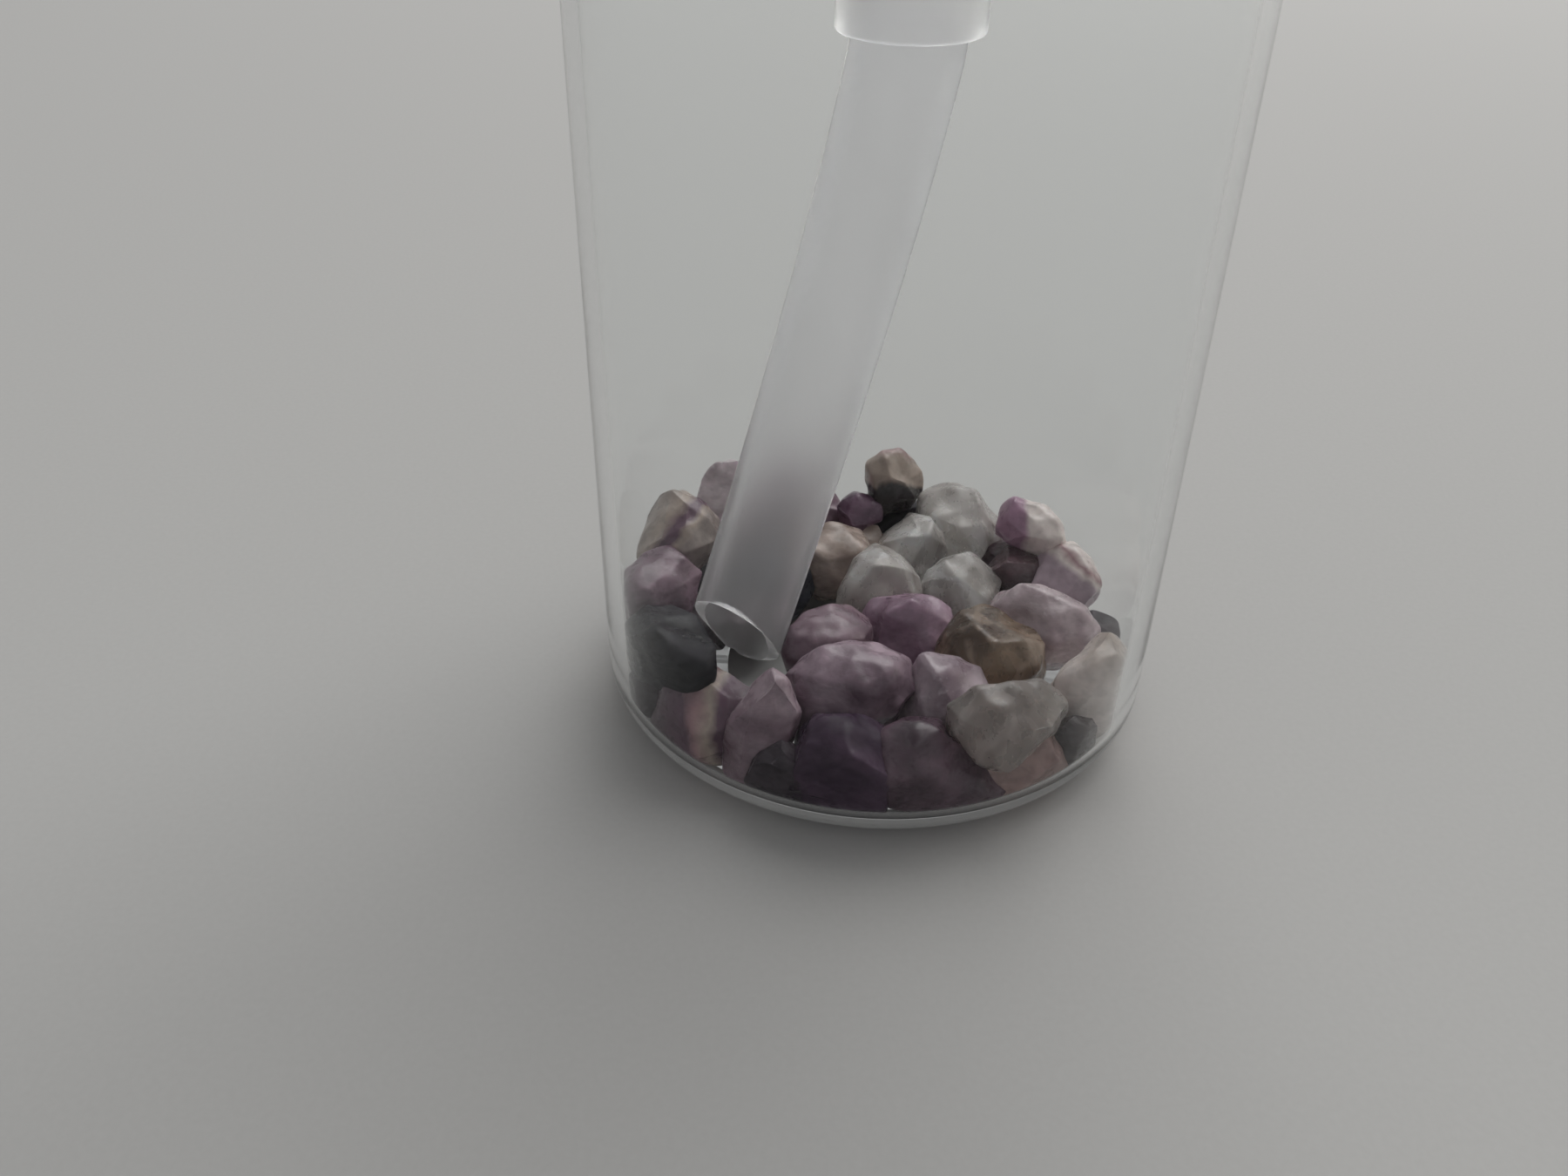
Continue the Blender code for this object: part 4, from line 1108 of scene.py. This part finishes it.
collar_thread = thread_ridge(
    "collar_thread",
    SKIRT_BORE + THREAD_BITE,
    NECK_R + THREAD_ROOM,
    [width * THREAD_SLACK for width in THREAD_WIDTHS],
    THREAD_LOW - THREAD_PITCH / 2,
)
combine(collar, collar_thread, "UNION", SHARP)
dress(collar, collar_white, "closure", "white_pp", "closure")

# %% [markdown]
# ## The finger head and its nozzle
#
# The head is dished for a finger and has a skirt round the guide. A pocket on the front
# takes the nozzle insert. The pocket is cut with a Boolean, as a drill would do, and the
# insert is turned upright and then laid on its side to face the front.

# %% Finger head and nozzle
HEAD_R, skirt_low, head_top = span("actuator")
DISH = 0.8 * MM
DISH_R = HEAD_R * 0.8
HEAD_EDGE = 0.9 * MM
HEAD_BORE = 6.8 * MM
HEAD_LOW = MOUTH_Z + 17.9 * MM
BOSS_R = 3.6 * MM
BOSS_LOW = skirt_low + 0.3 * MM
STEM_STOP = MOUTH_Z + 18.5 * MM
CHANNEL_R = 0.8 * MM
NOZZLE_Z = MOUTH_Z + 21.15 * MM
NOZZLE_R = 1.75 * MM
POCKET_R = 1.9 * MM
POCKET_DEPTH = 3.3 * MM
DRILL_LONG = HEAD_R * 1.5
ORIFICE_R = 0.3 * MM
DISH_STEPS = 8
HEAD_SHARP = 35  # degrees

head_outline = []
for i in range(DISH_STEPS + 1):
    share = i / DISH_STEPS
    head_outline.append((DISH_R * share, head_top - DISH * (1 - share**2)))
head_outline += arc((HEAD_R - HEAD_EDGE, head_top - HEAD_EDGE), (HEAD_EDGE, HEAD_EDGE), 85, 0, 6)
under = softened(
    [
        (0, NOZZLE_Z),
        (CHANNEL_R, NOZZLE_Z),
        (CHANNEL_R, STEM_STOP),
        (STEM_HOLE, STEM_STOP),
        (STEM_HOLE, BOSS_LOW),
        (BOSS_R, BOSS_LOW),
        (BOSS_R, HEAD_LOW),
        (HEAD_BORE, HEAD_LOW),
        (HEAD_BORE, skirt_low),
        (HEAD_R, skirt_low),
        (HEAD_R, head_top - 2 * HEAD_EDGE),
    ],
    SOFT_EDGE,
)[:-5]
head = turned("finger_head", head_outline + under[::-1], sides=96)


def laid_forward(piece):
    """Turns a piece made about the upright axis so that its top faces the front."""
    piece.rotation_euler = (math.radians(90), 0, 0)
    piece.location = (0, 0, NOZZLE_Z)
    settle_place(piece)


drill = turned(
    "drill",
    [
        (0, 0),
        (CHANNEL_R, 0),
        (CHANNEL_R, HEAD_R - POCKET_DEPTH),
        (POCKET_R, HEAD_R - POCKET_DEPTH),
        (POCKET_R, DRILL_LONG),
        (0, DRILL_LONG),
    ],
    sides=48,
)
laid_forward(drill)
combine(head, drill, "DIFFERENCE", HEAD_SHARP)
dress(head, head_white, "actuator", "white_pp", "actuator")

NOZZLE_FRONT = HEAD_R - 0.3 * MM
NOZZLE_BACK = HEAD_R - 3.0 * MM
ORIFICE_FRONT = NOZZLE_FRONT - 0.75 * MM
ORIFICE_BACK = NOZZLE_FRONT - 1.35 * MM
FUNNEL_R = NOZZLE_R * 0.55
NOZZLE_EDGE = 0.12 * MM
nozzle = turned(
    "spray_nozzle",
    softened(
        [
            (ORIFICE_R, ORIFICE_FRONT),
            (FUNNEL_R, NOZZLE_FRONT),
            (NOZZLE_R, NOZZLE_FRONT),
            (NOZZLE_R, NOZZLE_BACK),
            (CHANNEL_R, NOZZLE_BACK),
            (CHANNEL_R, ORIFICE_BACK),
            (ORIFICE_R, ORIFICE_BACK),
        ],
        NOZZLE_EDGE,
    ),
    sides=40,
)
laid_forward(nozzle)
smooth(nozzle, HEAD_SHARP)
dress(nozzle, collar_white, "actuator", "white_pp", "nozzle_insert")

# %% [markdown]
# ## The overcap
#
# The overcap is a clear moulded cup that sits over the head. Its two walls come from one
# outline, like the bottle's, with a round edge at the top.

# %% Overcap
CAP_R, cap_low, cap_top = span("overcap")
CAP_WALL = 1.1 * MM
CAP_EDGE = 2.6 * MM
CAP_RIM = 0.3 * MM
cap_outline = [(0, cap_top)]
cap_outline += arc((CAP_R - CAP_EDGE, cap_top - CAP_EDGE), (CAP_EDGE, CAP_EDGE), 90, 0, 10)
cap_outline += arc((CAP_R - CAP_RIM, cap_low + CAP_RIM), (CAP_RIM, CAP_RIM), 0, -90, 4)
cap_outline += arc((CAP_R - CAP_WALL + CAP_RIM, cap_low + CAP_RIM), (CAP_RIM, CAP_RIM), 270, 180, 4)
inner_edge = CAP_EDGE - CAP_WALL
cap_outline += arc((CAP_R - CAP_EDGE, cap_top - CAP_EDGE), (inner_edge, inner_edge), 0, 90, 8)
cap_outline += [(0, cap_top - CAP_WALL)]
overcap = turned("clear_overcap", cap_outline, sides=128)
dress(overcap, cap_clear, "overcap", "clear_ps", "overcap")

# %% [markdown]
# ## Table and light
#
# The table is a pale matt round top. A broad soft light stands behind the bottle, so the
# table grows darker towards the viewer and the bottle's shadow falls forwards. A weak warm
# light from the right stands for the rest of the room.

# %% Table and light
TABLE_R = 0.8  # metres
TABLE_SIDES = 96

deselect()
bpy.ops.mesh.primitive_circle_add(vertices=TABLE_SIDES, radius=TABLE_R, fill_type="NGON")
table = bpy.context.object
table.name = "table_top"
top = Finish("table_matt")
grain = top.noise(top.place(), 2500, 3.0)
top.set(
    Base_Color=top.mix(grain, (0.60, 0.60, 0.59), (0.64, 0.64, 0.63)),
    Roughness=0.75,
    Specular_IOR_Level=0.2,
)
table.data.materials.append(top.material)


def soft_light(name, place, aim, size, watts, colour):
    bpy.ops.object.light_add(type="AREA", location=place)
    lamp = bpy.context.object
    lamp.name = name
    lamp.data.shape = "SQUARE"
    lamp.data.size = size
    lamp.data.energy = watts
    lamp.data.color = colour
    lamp.rotation_euler = (Vector(aim) - Vector(place)).to_track_quat("-Z", "Y").to_euler()
    print(name, "gives", watts, "watts")


soft_light("back_window", (0.29, 0.66, 0.88), (0, 0.05, 0), 0.9, 7.4, (1.0, 0.99, 0.975))
soft_light("warm_side", (0.55, 0.20, 0.20), (0, 0, 0.02), 0.3, 0.2, (1.0, 0.90, 0.78))

# %% [markdown]
# ## The room
#
# Clear plastic shows what lies behind it, so the room needs a plain wall to look through to.
# The world shader gives it two strengths. Rays from the eye, also through clear plastic, meet
# a pale wall that is a little deeper near the table. All other rays meet the room's weak light,
# so the wall can be made paler without lighting the table.

# %% Room
ROOM_LIGHT = 0.25
BACKDROP_LOW = 0.40  # tones of the wall where it is seen, directly or through clear plastic
BACKDROP_HIGH = 0.60
BACKDROP_RISE = 0.25  # height over distance at which the wall is palest
BOUNCES = 24  # clear walls behind clear walls need many

room = bpy.data.worlds.new("room")
bpy.context.scene.world = room
room.use_nodes = True
nodes = room.node_tree.nodes
links = room.node_tree.links
path = nodes.new("ShaderNodeLightPath")
seen = nodes.new("ShaderNodeMath")
seen.operation = "MAXIMUM"
links.new(path.outputs["Is Camera Ray"], seen.inputs[0])
links.new(path.outputs["Is Transmission Ray"], seen.inputs[1])
way = nodes.new("ShaderNodeSeparateXYZ")
links.new(nodes.new("ShaderNodeTexCoord").outputs["Generated"], way.inputs["Vector"])
wall = nodes.new("ShaderNodeMapRange")
wall.interpolation_type = "SMOOTHSTEP"
wall.inputs["From Max"].default_value = BACKDROP_RISE
wall.inputs["To Min"].default_value = BACKDROP_LOW
wall.inputs["To Max"].default_value = BACKDROP_HIGH
links.new(way.outputs["Z"], wall.inputs["Value"])
tone = nodes.new("ShaderNodeMapRange")
tone.inputs["To Min"].default_value = ROOM_LIGHT
links.new(seen.outputs[0], tone.inputs["Value"])
links.new(wall.outputs["Result"], tone.inputs["To Max"])
links.new(tone.outputs["Result"], nodes["Background"].inputs["Strength"])
nodes["Background"].inputs["Color"].default_value = (1, 1, 1, 1)
scene = bpy.context.scene
scene.cycles.max_bounces = BOUNCES
scene.cycles.transmission_bounces = BOUNCES
scene.cycles.transparent_max_bounces = BOUNCES
scene.view_settings.view_transform = "Standard"
print("room light", ROOM_LIGHT, "backdrop", BACKDROP_LOW, "to", BACKDROP_HIGH)
